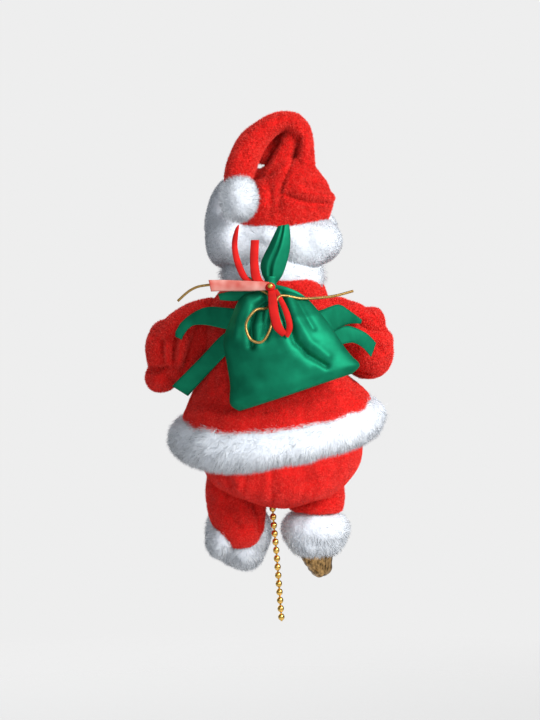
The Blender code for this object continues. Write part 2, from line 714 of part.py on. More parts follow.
def build_drive_wheel():
    """The last gear and the chain wheel, moulded as one on the crank shaft."""
    half = 0.004
    rim = WHEEL_PITCH_RADIUS + 0.0010
    groove = CHAIN_RADIUS + 2 * GAP
    profile = [(0, half), (rim, half)]
    steps = 4
    for i in range(steps + 1):
        angle = pi * i / steps
        depth = groove * sin(angle)
        height = groove * cos(angle)
        profile.append((WHEEL_PITCH_RADIUS - depth if 0 < i < steps else rim, height))
    profile += [(rim, -half), (0, -half)]
    wheel = turned("X", (0, DRIVE_Y, DRIVE_Z), profile, WHEEL_BEADS * 2)
    gear_end = DRIVE_GEAR_X + DRIVE_GEAR_WIDTH
    join(wheel, cylinder("X", (half - 0.001, DRIVE_Y, DRIVE_Z), gear_end - half, HUB_RADIUS, 16))
    join(wheel, gear(DRIVE_GEAR_X, DRIVE_Z, WHEEL_TEETH, DRIVE_GEAR_WIDTH, WHEEL_TOOTH_UP))
    cut(wheel, cylinder("X", (-half - 0.001, DRIVE_Y, DRIVE_Z), 0.03, SHAFT_RADIUS + GAP, 16))
    return as_part(wheel, "drive_wheel", FINISH["gear"])


def build_motor():
    left_end = PLATE_X - GAP
    low = (left_end - MOTOR_LENGTH, DRIVE_Y - MOTOR_DEPTH / 2, MOTOR_Z - MOTOR_HEIGHT / 2)
    high = (left_end, DRIVE_Y + MOTOR_DEPTH / 2, MOTOR_Z + MOTOR_HEIGHT / 2)
    motor = box(low, high)
    shape = bmesh.new()
    shape.from_mesh(motor.data)
    along = [e for e in shape.edges if abs(e.verts[0].co.x - e.verts[1].co.x) > MOTOR_LENGTH / 2]
    bmesh.ops.bevel(shape, geom=along, offset=MOTOR_CORNER, segments=3, affect="EDGES", profile=0.5)
    shape.to_mesh(motor.data)
    shape.free()
    join(motor, cylinder("X", (left_end - 0.001, DRIVE_Y, MOTOR_Z), 0.0022, 0.003, 16))
    cut(motor, cylinder("X", (left_end - 0.006, DRIVE_Y, MOTOR_Z), 0.01, PIN_RADIUS + GAP, 12))
    as_part(motor, "motor", FINISH["steel"])
    pinion = gear(FIRST_WHEEL_X - GAP, MOTOR_Z, PINION_TEETH, PINION_WIDTH, PINION_GAP_DOWN)
    shaft_start = left_end - 0.0055
    join(pinion, cylinder("X", (shaft_start, DRIVE_Y, MOTOR_Z), FIRST_WHEEL_X + PINION_WIDTH - shaft_start
                          - 0.001, PIN_RADIUS, 12))
    as_part(pinion, "motor_pinion", FINISH["steel"], (0, DRIVE_Y, MOTOR_Z))


def build_crank_shaft():
    end = CRANK_X + CRANK_THICKNESS / 2 - GAP
    shaft = cylinder("X", (-end, DRIVE_Y, DRIVE_Z), 2 * end, SHAFT_RADIUS, 16)
    as_part(shaft, "crank_shaft", FINISH["steel"], (0, DRIVE_Y, DRIVE_Z))
    for name, side in (("left", 1), ("right", -1)):
        near = side * CRANK_X
        far = side * (CRANK_X + CRANK_THICKNESS)
        disc = cylinder("X", (min(near, far), DRIVE_Y, DRIVE_Z), CRANK_THICKNESS, CRANK_RADIUS, 20)
        bore = cylinder("X", (min(near, far) - 0.001, DRIVE_Y, DRIVE_Z), 0.004, SHAFT_RADIUS + GAP / 2, 16)
        cut(disc, bore)
        pin_y = DRIVE_Y - side * CRANK_THROW
        pin_start = far - side * CRANK_THICKNESS / 2
        pin_end = side * (LEG_TAIL_X - GAP)
        join(disc, cylinder("X", (min(pin_start, pin_end), pin_y, DRIVE_Z), abs(pin_end - pin_start),
                            PIN_RADIUS, 12))
        as_part(disc, f"{name}_crank", FINISH["gear"], (0, DRIVE_Y, DRIVE_Z))


def link_outline(a, b, radius, steps=6):
    """A bar with round ends between two points of the Y-Z plane."""
    a, b = Vector(a), Vector(b)
    along = (b - a).normalized()
    across = Vector((-along.y, along.x))
    points = []
    for centre, sign in ((b, 1), (a, -1)):
        for i in range(steps + 1):
            angle = -pi / 2 + pi * i / steps
            direction = sign * (along * cos(angle) + across * sin(angle))
            points.append(tuple(centre + radius * direction))
    return points


def build_rods():
    """Each rod hangs on its arm's rocker and ends at its crank pin."""
    top = (SHOULDER_Y - ROCKER, SHOULDER_Z)
    for name, side in (("left", 1), ("right", -1)):
        bottom = (DRIVE_Y - side * CRANK_THROW, DRIVE_Z)
        near = side * ROD_X
        far = side * (ROD_X + ROD_THICKNESS)
        rod = flat_piece("X", (min(near, far), 0, 0), [link_outline(top, bottom, 0.0022),
                                                       circle(PIN_RADIUS + GAP, 10, top),
                                                       circle(PIN_RADIUS + GAP, 10, bottom)], ROD_THICKNESS)
        as_part(rod, f"{name}_rod", FINISH["gear"], (0, *top))


def mirrored(points, side):
    return [(side * p[0], *p[1:]) for p in points]


def bar_room(points, radius):
    """A cutter that leaves the gap all round a bent bar and past its end."""
    route = [Vector(p) for p in points]
    route[-1] += 2 * GAP * (route[-1] - route[-2]).normalized()
    return as_mesh(tube(smooth_route(route, 0.008), radius + 2 * GAP, 1))


def build_arm_levers():
    """Shaft, inner rocker and the bent bar inside the sleeve."""
    for name, side in (("left", 1), ("right", -1)):
        inner, outer = side * LEG_TAIL_X, side * (LEG_TAIL_X + TAIL_THICKNESS)
        tip = (SHOULDER_Y - ROCKER, SHOULDER_Z)
        lever = flat_piece("X", (min(inner, outer), 0, 0),
                           [link_outline((SHOULDER_Y, SHOULDER_Z), tip, 0.0028)], TAIL_THICKNESS)
        pin_start, pin_end = side * (LEG_TAIL_X + TAIL_THICKNESS / 2), side * (ROD_X + ROD_THICKNESS)
        shaft_end = side * 0.0340
        join(lever,
             cylinder("X", (min(pin_start, pin_end), *tip), abs(pin_end - pin_start), PIN_RADIUS, 12),
             cylinder("X", (min(pin_start, shaft_end), SHOULDER_Y, SHOULDER_Z), abs(shaft_end - pin_start),
                      LIMB_SHAFT_RADIUS, 12),
             as_mesh(tube(smooth_route(mirrored(ARM_ROUTE, side), 0.008), ARM_BAR_RADIUS, 1)))
        as_part(lever, f"{name}_arm_lever", FINISH["shell"], SHOULDER)


def build_leg_levers():
    """Slotted tail inside the housing, hip shaft, and the bar inside the trouser leg."""
    for name, side in (("left", 1), ("right", -1)):
        inner, outer = side * LEG_TAIL_X, side * (LEG_TAIL_X + TAIL_THICKNESS)
        slot = rounded_slot((DRIVE_Y, DRIVE_Z), PIN_RADIUS + GAP, CRANK_THROW)
        lever = flat_piece("X", (min(inner, outer), 0, 0),
                           [link_outline((HIP_Y, HIP_Z), (DRIVE_Y, DRIVE_Z + CRANK_THROW), 0.0030), slot],
                           TAIL_THICKNESS)
        shaft_start, shaft_end = side * (LEG_TAIL_X + TAIL_THICKNESS / 2), side * (LEG_BAR_X + 0.0013)
        join(lever,
             cylinder("X", (min(shaft_start, shaft_end), HIP_Y, HIP_Z), abs(shaft_end - shaft_start),
                      LIMB_SHAFT_RADIUS, 16),
             as_mesh(tube(smooth_route(LEG_ROUTES[side], 0.008), LEG_BAR_RADIUS, 1)))
        as_part(lever, f"{name}_leg_lever", FINISH["shell"], HIP)


# Sound and switch

def build_electrics():
    board_back = BOARD_Y
    board_front = board_back - BOARD_THICKNESS
    board = box((-0.0150, board_front, HOUSING_BOTTOM + WALL + GAP), (-0.0075, board_back, 0.046))
    join(board, cylinder("Y", (-0.0112, board_back - BOARD_THICKNESS / 2, 0.036), 0.0022, 0.0026, 14, 0.0020))
    join(board, cylinder("Y", (-0.0112, board_back - BOARD_THICKNESS / 2, 0.0285), 0.0045, 0.0019, 12))
    as_part(board, "circuit_board", ((0.02, 0.22, 0.10), 0.4))
    body_back = board_front - GAP
    wall_inside = HOUSING_FRONT + WALL + GAP
    body = box((SWITCH_X - 0.0038, wall_inside, SWITCH_Z - 0.0030),
               (SWITCH_X + 0.0026, body_back, SWITCH_Z + 0.0030))
    as_part(body, "switch_body", FINISH["steel"])
    knob = box((SWITCH_X - 0.0034, HOUSING_FRONT - 0.0026, SWITCH_Z - 0.0014),
               (SWITCH_X - 0.0034 + 0.0034, wall_inside - GAP, SWITCH_Z + 0.0014))
    as_part(knob, "switch_knob", ((0.03, 0.03, 0.03), 0.5))
    front = HOUSING_FRONT + WALL + GAP
    depth = 0.0065
    profile = [(0, depth), (0.0055, depth), (0.0055, 0.0035), (0.0105, 0.0022), (SPEAKER_RADIUS, 0.0014),
               (SPEAKER_RADIUS, 0), (0.0105, 0), (0.0035, 0.0016), (0, 0.0010)]
    speaker = turned("Y", (0, front, SPEAKER_Z), profile, 16)
    as_part(speaker, "speaker", ((0.05, 0.05, 0.05), 0.6))


# Chain

LOWER_ROUTE = [(0.0, CHAIN_DOWN_Y, HOUSING_BOTTOM - GAP), (0.0, CHAIN_DOWN_Y, 0.004),
               (-0.0008, CHAIN_DOWN_Y, -0.010), (-0.0026, CHAIN_DOWN_Y, -0.030),
               (-0.0050, CHAIN_DOWN_Y, -0.0620)]


def hank_route():
    """Runs up and down in two layers; each column steps sideways, and the last turn crosses to the back."""
    points = []
    column_x = [(i - (HANK_COLUMNS - 1) / 2) * HANK_STEP for i in range(HANK_COLUMNS)]
    low, high = HANK_BOTTOM + HANK_STEP, HANK_TOP - HANK_STEP
    layers = (HANK_Y - HANK_STEP / 2, HANK_Y + HANK_STEP / 2)
    runs = [(x, layers[0]) for x in column_x] + [(x, layers[1]) for x in reversed(column_x)]
    bend_steps = 6
    run_steps = 2
    upward = False
    points.append((runs[0][0], runs[0][1], HANK_TOP))
    for number, (x, y) in enumerate(runs):
        start, end = (low, high) if upward else (high, low)
        for i in range(run_steps + 1):
            points.append((x, y, start + (end - start) * i / run_steps))
        if number + 1 < len(runs):
            next_x, next_y = runs[number + 1]
            side = 1 if upward else -1
            for i in range(1, bend_steps):
                angle = pi * i / bend_steps
                share = (1 - cos(angle)) / 2
                points.append((x + (next_x - x) * share, y + (next_y - y) * share,
                               end + side * HANK_STEP / 2 * sin(angle)))
        upward = not upward
    last = points[-1]
    points.append((last[0], last[1], HANK_TOP))
    return points


def least_gap(route, radius):
    """The least distance between the surfaces of stretches that lie well apart along a route."""
    skip = 3 * radius
    along = [0.0]
    for a, b in zip(route, route[1:]):
        along.append(along[-1] + (Vector(b) - Vector(a)).length)
    gaps = []
    for i, a in enumerate(route):
        for j in range(i + 1, len(route)):
            if along[j] - along[i] > 2 * skip:
                gaps.append((Vector(a) - Vector(route[j])).length - 2 * radius)
    return min(gaps)


def build_chain():
    route = smooth_route(LOWER_ROUTE, CHAIN_SPACING)
    as_part(tube(route, CHAIN_RADIUS, 2), "chain_lower", FINISH["gold"])
    inside = [(0, CHAIN_DOWN_Y, HOUSING_BOTTOM + 0.0001), (0, CHAIN_DOWN_Y, 0.020)]
    turn_steps = 7
    slant = 1.2
    for i in range(turn_steps + 1):
        angle = slant * i / turn_steps
        inside.append((0, DRIVE_Y + WHEEL_PITCH_RADIUS * cos(angle),
                       DRIVE_Z + WHEEL_PITCH_RADIUS * sin(angle)))
    inside += [(0, -0.0160, 0.0470), (0, -0.0235, 0.0500), (0, HOUSING_FRONT + 0.0001, CHEST_PORT_Z)]
    as_part(tube(smooth_route(inside, WHEEL_SPACING), CHAIN_RADIUS, 1), "chain_inside", FINISH["gold"])
    hank = hank_route()
    as_part(tube(hank, CHAIN_RADIUS, 1), "chain_hank", FINISH["gold"])
    print("least gap of the hank to itself, mm:", round(1000 * least_gap(hank, CHAIN_RADIUS), 2))
    start, end = hank[0], hank[-1]
    top = [(end[0], end[1], end[2] + GAP), (end[0], end[1], HANK_TOP + 0.006),
           (0.0, -CHAIN_FRONT, HANK_TOP + 0.018), (0.0, -CHAIN_FRONT, 0.110), (0.0, -CHAIN_FRONT, 0.140),
           (0.0, -CHAIN_FRONT, CHAIN_TOP_Z - 0.01), (0.0, -CHAIN_FRONT, CHAIN_TOP_Z)]
    as_part(tube(smooth_route(top, CHAIN_SPACING), CHAIN_RADIUS, 2), "chain_top", FINISH["gold"])
    middle = [(0, HOUSING_FRONT - GAP, CHEST_PORT_Z), (0, -0.0370, CHEST_PORT_Z),
              (0, -0.0440, 0.0550), (-0.0025, -0.0443, 0.0640), (-0.0080, -0.0445, 0.0680),
              (-0.0150, -0.0480, 0.0600), (-0.0200, -0.0500, 0.0420), (-0.0260, -0.0490, 0.0240),
              (-0.0330, -0.0440, 0.0110), (-0.0345, -0.0420, 0.0070), (-0.0300, -0.0450, 0.0040),
              (-0.0220, -0.0530, 0.0180), (-0.0170, -0.0600, 0.0450), (-0.0120, -0.0600, 0.0740),
              (start[0] - 0.0012, start[1] - 0.0012, HANK_TOP + 0.0095),
              (start[0], start[1], HANK_TOP + 0.0045),
              (start[0], start[1], HANK_TOP + GAP)]
    as_part(tube(smooth_route(middle, CHAIN_SPACING), CHAIN_RADIUS, 2), "chain_middle", FINISH["gold"])
    for name, stretch in (("lower", route), ("hank", hank), ("top", smooth_route(top, CHAIN_SPACING)),
                          ("middle", smooth_route(middle, CHAIN_SPACING))):
        print("chain", name, "mm:", round(1000 * route_length(stretch), 1))


def build_ring():
    centre = (0, SEAT_TO_RING - RING_RADIUS + RING_WIRE)
    route = [(x, -CHAIN_FRONT, z) for x, z in circle(RING_RADIUS, 16, centre)]
    ring = tube(route, RING_WIRE, 1)
    ring.data.splines[0].use_cyclic_u = True
    ring.data.use_fill_caps = False
    as_part(ring, "hanging_ring", FINISH["gold"])


def build_tie():
    """A twisted wire tie round the waist of the hank."""
    half_x = HANK_COLUMNS * HANK_STEP / 2 + 0.0007
    half_y = HANK_STEP + 0.0007
    route = []
    for u, v in rounded_box_outline(half_x, half_y, 0.002):
        route.append((u, HANK_Y + v, TIE_Z))
    tie = tube(route, 0.0005, 1)
    tie.data.splines[0].use_cyclic_u = True
    tie.data.use_fill_caps = False
    as_part(tie, "chain_tie", ((0.6, 0.05, 0.05), 0.5))


def rounded_box_outline(half_x, half_y, radius, steps=3):
    points = []
    corners = ((1, 1, 0), (-1, 1, pi / 2), (-1, -1, pi), (1, -1, 3 * pi / 2))
    for sign_x, sign_y, first in corners:
        for i in range(steps + 1):
            angle = first + i * pi / 2 / steps
            points.append((sign_x * (half_x - radius) + radius * cos(angle),
                           sign_y * (half_y - radius) + radius * sin(angle)))
    return points


# Clothes and head

JACKET_SECTIONS = [
    (0.0280, -0.0020, 0.0450, -0.0420, 0.0360, 0.9),
    (0.0420, -0.0025, 0.0480, -0.0445, 0.0365, 0.9),
    (0.0550, -0.0020, 0.0430, -0.0420, 0.0345, 0.4),
    (0.0680, -0.0005, 0.0360, -0.0385, 0.0348, 0.0),
    (0.0830, 0.0, 0.0335, -0.0355, 0.0345, 0.0),
    (0.0970, 0.0, 0.0335, -0.0350, 0.0330, 0.0),
    (0.1070, 0.0, 0.0220, -0.0240, 0.0210, 0.0),
]
TROUSER_SECTIONS = [
    (-0.0005, -0.0040, 0.0210, -0.0260, 0.0230, 0.0),
    (0.0050, -0.0050, 0.0340, -0.0350, 0.0315, 0.0),
    (0.0140, -0.0060, 0.0405, -0.0385, 0.0345, 0.2),
    (0.0200, -0.0060, 0.0410, -0.0385, 0.0345, 0.6),
    (0.0270, -0.0055, 0.0420, -0.0410, 0.0360, 0.9),
]
HEM_SECTIONS = [
    (0.0180, -0.0020, 0.0480, -0.0440, 0.0400),
    (0.0232, -0.0030, 0.0565, -0.0500, 0.0450),
    (0.0310, -0.0030, 0.0565, -0.0500, 0.0445),
    (0.0400, -0.0025, 0.0500, -0.0465, 0.0395),
]


def hem_rise(x, y):
    """The hem hangs lowest behind the middle and rides up on the figure's right side."""
    return 3.44 * x * x - 0.088 * x


def hat_rise(x, y):
    """The hat sits lower behind than over the face."""
    return -0.22 * y


def sack_rise(x, y):
    """The sack's full bottom slants up towards the figure's right side."""
    return -0.336 * x


def housing_room(bottom):
    """The hollow that the clothes leave for the housing and its sliding door."""
    room = box((-HOUSING_HALF_WIDTH - GAP, HOUSING_FRONT - GAP, bottom),
               (HOUSING_HALF_WIDTH + GAP, HOUSING_BACK + GAP, HOUSING_TOP + GAP))
    shape = bmesh.new()
    shape.from_mesh(room.data)
    front_edges = [e for e in shape.edges
                   if all(v.co.y < 0 for v in e.verts) and abs(e.verts[0].co.z - e.verts[1].co.z) > WALL]
    bmesh.ops.bevel(shape, geom=front_edges, offset=CORNER, segments=4, affect="EDGES", profile=0.5)
    shape.to_mesh(room.data)
    shape.free()
    reach = DOOR_HALF_WIDTH + RAIL_WIDTH + 2 * GAP
    door_bottom = min(bottom - GAP, DOOR_LOW - DOOR_TRAVEL - 2 * GAP)
    return join(room, box((-reach, 0, door_bottom), (reach, DOOR_Y + 0.0036, DOOR_HIGH + 0.001)))


def jacket_form():
    return stack(JACKET_SECTIONS, 10, CLOTH_POWER, hem_rise)


def trouser_form():
    return stack(TROUSER_SECTIONS, 10, CLOTH_POWER, hem_rise)


def build_jacket():
    jacket = jacket_form()
    cut(jacket, housing_room(-0.05),
        cylinder("Z", (0, NECK_Y, 0.09), 0.03, NECK_RADIUS + 0.0012, 16))
    cut(jacket, cylinder("X", (-0.05, SHOULDER_Y, SHOULDER_Z), 0.10, LIMB_SHAFT_RADIUS + 0.0006, 12),
        cylinder("Y", (0, -0.06, CHEST_PORT_Z), 0.05, PORT_RADIUS + 0.0012, 12))
    return as_part(jacket, "jacket", FINISH["red"])


def build_trousers():
    trousers = trouser_form()
    cut(trousers, housing_room(HOUSING_BOTTOM - GAP))
    cut(trousers, cylinder("Z", (0, CHAIN_DOWN_Y, -0.02), 0.06, PORT_RADIUS + 0.0012, 12))
    reach = 0.060
    arc_steps = 8
    spread = 1.05
    outline = []
    for i in range(arc_steps + 1):
        angle = -pi / 2 - spread + 2 * spread * i / arc_steps
        outline.append((HIP_Y + LEG_SWEEP_RADIUS * cos(angle), HIP_Z + LEG_SWEEP_RADIUS * sin(angle)))
    outline += [(HIP_Y + reach * cos(-pi / 2 + spread), HIP_Z + reach * sin(-pi / 2 + spread)),
                (HIP_Y + reach * cos(-pi / 2 - spread), HIP_Z + reach * sin(-pi / 2 - spread))]
    cut(trousers, flat_piece("X", (-reach, 0, 0), [outline], 2 * reach))
    cut(trousers, box((SWITCH_X - 0.007, -0.06, SWITCH_Z - 0.005),
                      (SWITCH_X + 0.007, -0.02, SWITCH_Z + 0.005)))
    hub_reach = 0.0034
    hub_end = LEG_BAR_X + 0.0038
    slot_half = 0.0042
    for side in (-1, 1):
        hub_start = HOUSING_HALF_WIDTH - 0.001
        start = hub_start if side > 0 else -hub_end
        cut(trousers, cylinder("X", (start, HIP_Y, HIP_Z), hub_end - hub_start, hub_reach, 14))
        bar = flat_piece("X", (side * (LEG_BAR_X - 0.0004) - slot_half, 0, 0),
                         [fan_outline(LEG_SWEEP_RADIUS + 0.002, 0.26, 0.0032)], 2 * slot_half)
        cut(trousers, bar)
    return as_part(trousers, "trousers", FINISH["red"])


def fan_outline(reach, swing, half_width, steps=4):
    """A slot below the hip that lets a bar of some half width swing each way."""
    points = [(HIP_Y - half_width, HIP_Z), (HIP_Y - half_width, HIP_Z + half_width),
              (HIP_Y + half_width, HIP_Z + half_width), (HIP_Y + half_width, HIP_Z)]
    spread = swing + half_width / reach
    for i in range(steps + 1):
        angle = -pi / 2 + spread - 2 * spread * i / steps
        points.append((HIP_Y + reach * cos(angle), HIP_Z + reach * sin(angle)))
    return points


def build_hem():
    hem = stack(HEM_SECTIONS, 10, 2.2, hem_rise)
    inner = stack([(z + shift, x, half_width - HEM_WALL, front + HEM_WALL, back - HEM_WALL)
                   for (z, x, half_width, front, back), shift in zip(HEM_SECTIONS, (-0.012, 0, 0, 0.012))],
                  10, 2.2, hem_rise)
    cut(hem, inner)
    cut(hem, swollen(jacket_form(), HEM_GAP), swollen(trouser_form(), HEM_GAP))
    return as_part(hem, "hem_trim", FINISH["white"])


HEAD_CENTRE = (0.0, -0.006, 0.1298)
HEAD_RADII = (0.0230, 0.0220, 0.0225)


def build_head():
    head = ball(HEAD_CENTRE, HEAD_RADII, 10, 16)
    join(head, ball((0, HEAD_CENTRE[1] - HEAD_RADII[1] - 0.0005, 0.1265), (0.0033, 0.0036, 0.0034), 6, 8))
    cut(head, cylinder("Z", (0, NECK_Y, 0.095), NECK_TOP + GAP - 0.095, NECK_RADIUS + GAP, 20))
    return as_part(head, "head", ((0.80, 0.56, 0.44), 0.5))


def build_hair(head, jacket):
    hair = stack([
        (0.1078, 0.0, 0.0225, -0.0100, 0.0230),
        (0.113, -0.0005, 0.0250, -0.0090, 0.0265),
        (0.119, -0.0005, 0.0255, -0.0080, 0.0270),
        (0.1310, 0.0, 0.0250, -0.0080, 0.0255),
    ], 12)
    room_for(hair, head, jacket)
    cut(hair, cylinder("Z", (0, NECK_Y, 0.09), 0.04, 0.0120, 16))
    return as_part(hair, "hair", FINISH["white"])


def build_hat_band(head, hair):
    band = stack([
        (0.1300, 0.0, 0.0280, -0.0290, 0.0245),
        (0.1365, 0.0, 0.0330, -0.0335, 0.0290),
        (0.1455, 0.0005, 0.0330, -0.0325, 0.0290),
        (0.1530, 0.003, 0.0270, -0.0260, 0.0240),
    ], 12, rise=hat_rise)
    room_for(band, head, hair)
    return as_part(band, "hat_band", FINISH["white"])


def build_hat(head, band):
    crown = stack([
        (0.1450, -0.0010, 0.0275, -0.0250, 0.0225, 0.5),
        (0.1550, -0.0020, 0.0295, -0.0250, 0.0240, 0.5),
        (0.1640, -0.0060, 0.0245, -0.0200, 0.0230, 0.5),
        (0.1720, -0.0115, 0.0165, -0.0130, 0.0180, 0.5),
    ], 12, rise=hat_rise)
    fold = swelling([(-0.0140, 0.002, 0.1600, 0.0130), (-0.0145, 0.003, 0.1730, 0.0085),
                     (-0.0125, 0.004, 0.1850, 0.0080), (-0.0055, 0.008, 0.1905, 0.0080),
                     (0.0040, 0.014, 0.1870, 0.0085), (0.0110, 0.021, 0.1780, 0.0085),
                     (0.0160, 0.027, 0.1670, 0.0075)], 0.0055, 3)
    join(crown, fold)
    room_for(crown, head, band)
    return as_part(crown, "hat", FINISH["red"])


def build_pom_pom(*neighbours):
    pom = ball((0.0165, 0.0325, 0.1556), (0.0105, 0.0100, 0.0125), 8, 12)
    room_for(pom, *neighbours)
    return as_part(pom, "pom_pom", FINISH["white"])


def build_beard(*neighbours):
    beard = stack([(0.0880, 0.0, 0.0080, -0.0380, -0.0300), (0.0960, 0.0, 0.0160, -0.0380, -0.0200),
                   (0.1060, 0.0, 0.0210, -0.0345, -0.0120), (0.1160, 0.0, 0.0240, -0.0325, -0.0090),
                   (0.1225, 0.0, 0.0250, -0.0290, -0.0085)], 12)
    behind_chin = box((-0.0300, -0.0312, 0.08), (0.0300, 0.025, 0.1004))
    join(behind_chin, cylinder("Z", (0, NECK_Y, 0.09), 0.05, 0.0160, 16))
    cut(beard, behind_chin)
    room_for(beard, *neighbours)
    return as_part(beard, "beard", FINISH["white"])


LEFT_SLEEVE = [(0.0322, 0.0, 0.0925, 0.0090), (0.0400, 0.0, 0.0885, 0.0118), (0.0475, 0.0, 0.0800, 0.0132),
               (0.0500, -0.0080, 0.0715, 0.0132), (0.0485, -0.0240, 0.0705, 0.0120),
               (0.0420, -0.0390, 0.0755, 0.0105), (0.0335, -0.0475, 0.0830, 0.0090),
               (0.0270, -0.0500, 0.0880, 0.0080)]
RIGHT_SLEEVE = [(-0.0322, 0.0, 0.0935, 0.0090), (-0.0410, 0.0, 0.0895, 0.0118),
                (-0.0475, 0.0, 0.0830, 0.0128),
                (-0.0500, -0.0080, 0.0750, 0.0120), (-0.0485, -0.0240, 0.0730, 0.0115),
                (-0.0420, -0.0390, 0.0765, 0.0105), (-0.0335, -0.0475, 0.0835, 0.0090),
                (-0.0270, -0.0500, 0.0880, 0.0080)]


def build_sleeves(jacket):
    for name, side, stations in (("left", 1, LEFT_SLEEVE), ("right", -1, RIGHT_SLEEVE)):
        sleeve = swelling(stations, 0.0085, 3)
        room = turned("X", (0, SHOULDER_Y, SHOULDER_Z), SHOULDER_ROOM, 24)
        if side < 0:
            room.matrix_world = (Matrix.Translation((0, SHOULDER_Y, SHOULDER_Z))
                                 @ Matrix.Rotation(pi, 4, "Z") @ TURN_TO["X"])
        cut(sleeve, room)
        cut(sleeve, bar_room(mirrored(ARM_ROUTE, side), ARM_BAR_RADIUS))
        cut(sleeve, cylinder("X", (min(side * 0.02, side * 0.0345), SHOULDER_Y, SHOULDER_Z), 0.0145,
                             LIMB_SHAFT_RADIUS + GAP, 16))
        as_part(sleeve, f"{name}_sleeve", FINISH["red"], SHOULDER)


def build_hands():
    """Mittens that cup the chain from both sides."""
    for name, side in (("left", 1), ("right", -1)):
        hand = swelling(mirrored([(0.0235, -0.0505, 0.0905, 0.0062), (0.0175, -0.0512, 0.0955, 0.0078),
                                  (0.0115, -0.0512, 0.1000, 0.0066),
                                  (0.0080, -0.0512, 0.1030, 0.0040)], side),
                        0.0035, 2)
        sleeve = bpy.data.objects[f"{name}_sleeve"]
        room_for(hand, sleeve)
        cut(hand, bar_room(mirrored(ARM_ROUTE, side), ARM_BAR_RADIUS))
        as_part(hand, f"{name}_hand", ((0.03, 0.03, 0.035), 0.9), SHOULDER)


def build_legs():
    """Trouser legs, fur cuffs and boots, each cut by the piece above it."""
    shapes = {
        "left": ([(0.0200, -0.0085, 0.0030, 0.0125), (0.0195, -0.0095, -0.0060, 0.0135),
                  (0.0185, -0.0105, -0.0130, 0.0115)],
                 (0.0190, -0.0190, -0.0205), (0.0165, 0.0140, 0.0148),
                 [(0.0185, -0.0200, -0.0220, 0.0085), (0.0175, -0.0290, -0.0270, 0.0090),
                  (0.0170, -0.0370, -0.0290, 0.0075)]),
        "right": ([(-0.0220, -0.009, 0.0050, 0.0125), (-0.0225, -0.010, -0.0010, 0.0130),
                   (-0.0225, -0.010, -0.0060, 0.0115)],
                  (-0.0222, -0.0100, -0.0150), (0.0175, 0.0150, 0.0125),
                  [(-0.0222, -0.0105, -0.0180, 0.0085), (-0.0224, -0.0125, -0.0280, 0.0085),
                   (-0.0230, -0.0160, -0.0345, 0.0060)]),
    }
    for name, (leg_stations, cuff_centre, cuff_radii, boot_stations) in shapes.items():
        side = 1 if name == "left" else -1
        leg = swelling(leg_stations, 0.004, 3)
        cut(leg, cylinder("X", (-0.06, HIP_Y, HIP_Z), 0.12, LEG_SWEEP_RADIUS + GAP, 40))
        cut(leg, bar_room(LEG_ROUTES[side], LEG_BAR_RADIUS))
        as_part(leg, f"{name}_leg", FINISH["red"], HIP)
        leg_room = [(x, y, z, radius + CLOTH_GAP) for x, y, z, radius in leg_stations]
        x, y, z, radius = leg_room[-1]
        leg_room[-1] = (x, y, z - CLOTH_GAP, radius)
        cuff = ball(cuff_centre, cuff_radii, 8, 16)
        cut(cuff, swelling(leg_room, 0.004, 3))
        as_part(cuff, f"{name}_boot_cuff", FINISH["white"], HIP)
        boot = swelling(boot_stations, 0.004, 3)
        cut(boot, swelling(leg_room, 0.004, 3))
        room_for(boot, cuff)
        as_part(boot, f"{name}_boot", ((0.42, 0.27, 0.12), 0.3), HIP)


# Sack and its trim

SACK_SECTIONS = [
    (0.0530, -0.0105, 0.0290, 0.0345, 0.0475, 1.0),
    (0.0600, -0.0105, 0.0345, 0.0325, 0.0590, 0.8),
    (0.0730, -0.0095, 0.0365, 0.0325, 0.0620, 0.5),
    (0.0870, -0.0055, 0.0310, 0.0325, 0.0590, 0.2),
    (0.1000, -0.0010, 0.0190, 0.0330, 0.0510, 0.0),
    (0.1080, 0.0005, 0.0090, 0.0345, 0.0440, 0.0),
    (0.1125, 0.0005, 0.0040, 0.0350, 0.0430, 0.0),
]


def build_sack(*neighbours):
    sack = stack(SACK_SECTIONS, 12, 2.2, sack_rise)
    leaf = swelling([(0.0, 0.0380, 0.1100, 0.0030), (-0.001, 0.0385, 0.1180, 0.0052),
                     (-0.003, 0.0385, 0.1270, 0.0062), (-0.0035, 0.0380, 0.1370, 0.0042),
                     (-0.0035, 0.0375, 0.1420, 0.0012)], 0.004, 1)
    leaf.data.transform(Matrix.Translation((0, 0.038, 0)) @ Matrix.Diagonal((1, 0.3, 1, 1))
                        @ Matrix.Translation((0, -0.038, 0)))
    join(sack, leaf)
    strap_back = STRAP_BACK_Y + STRAP_THICKNESS / 2 + 1.5 * GAP
    cut(sack, box((-0.05, 0, STRAP_LOW), (0.05, strap_back, 0.104)))
    room_for(sack, *neighbours)
    return as_part(sack, "sack", FINISH["green"])


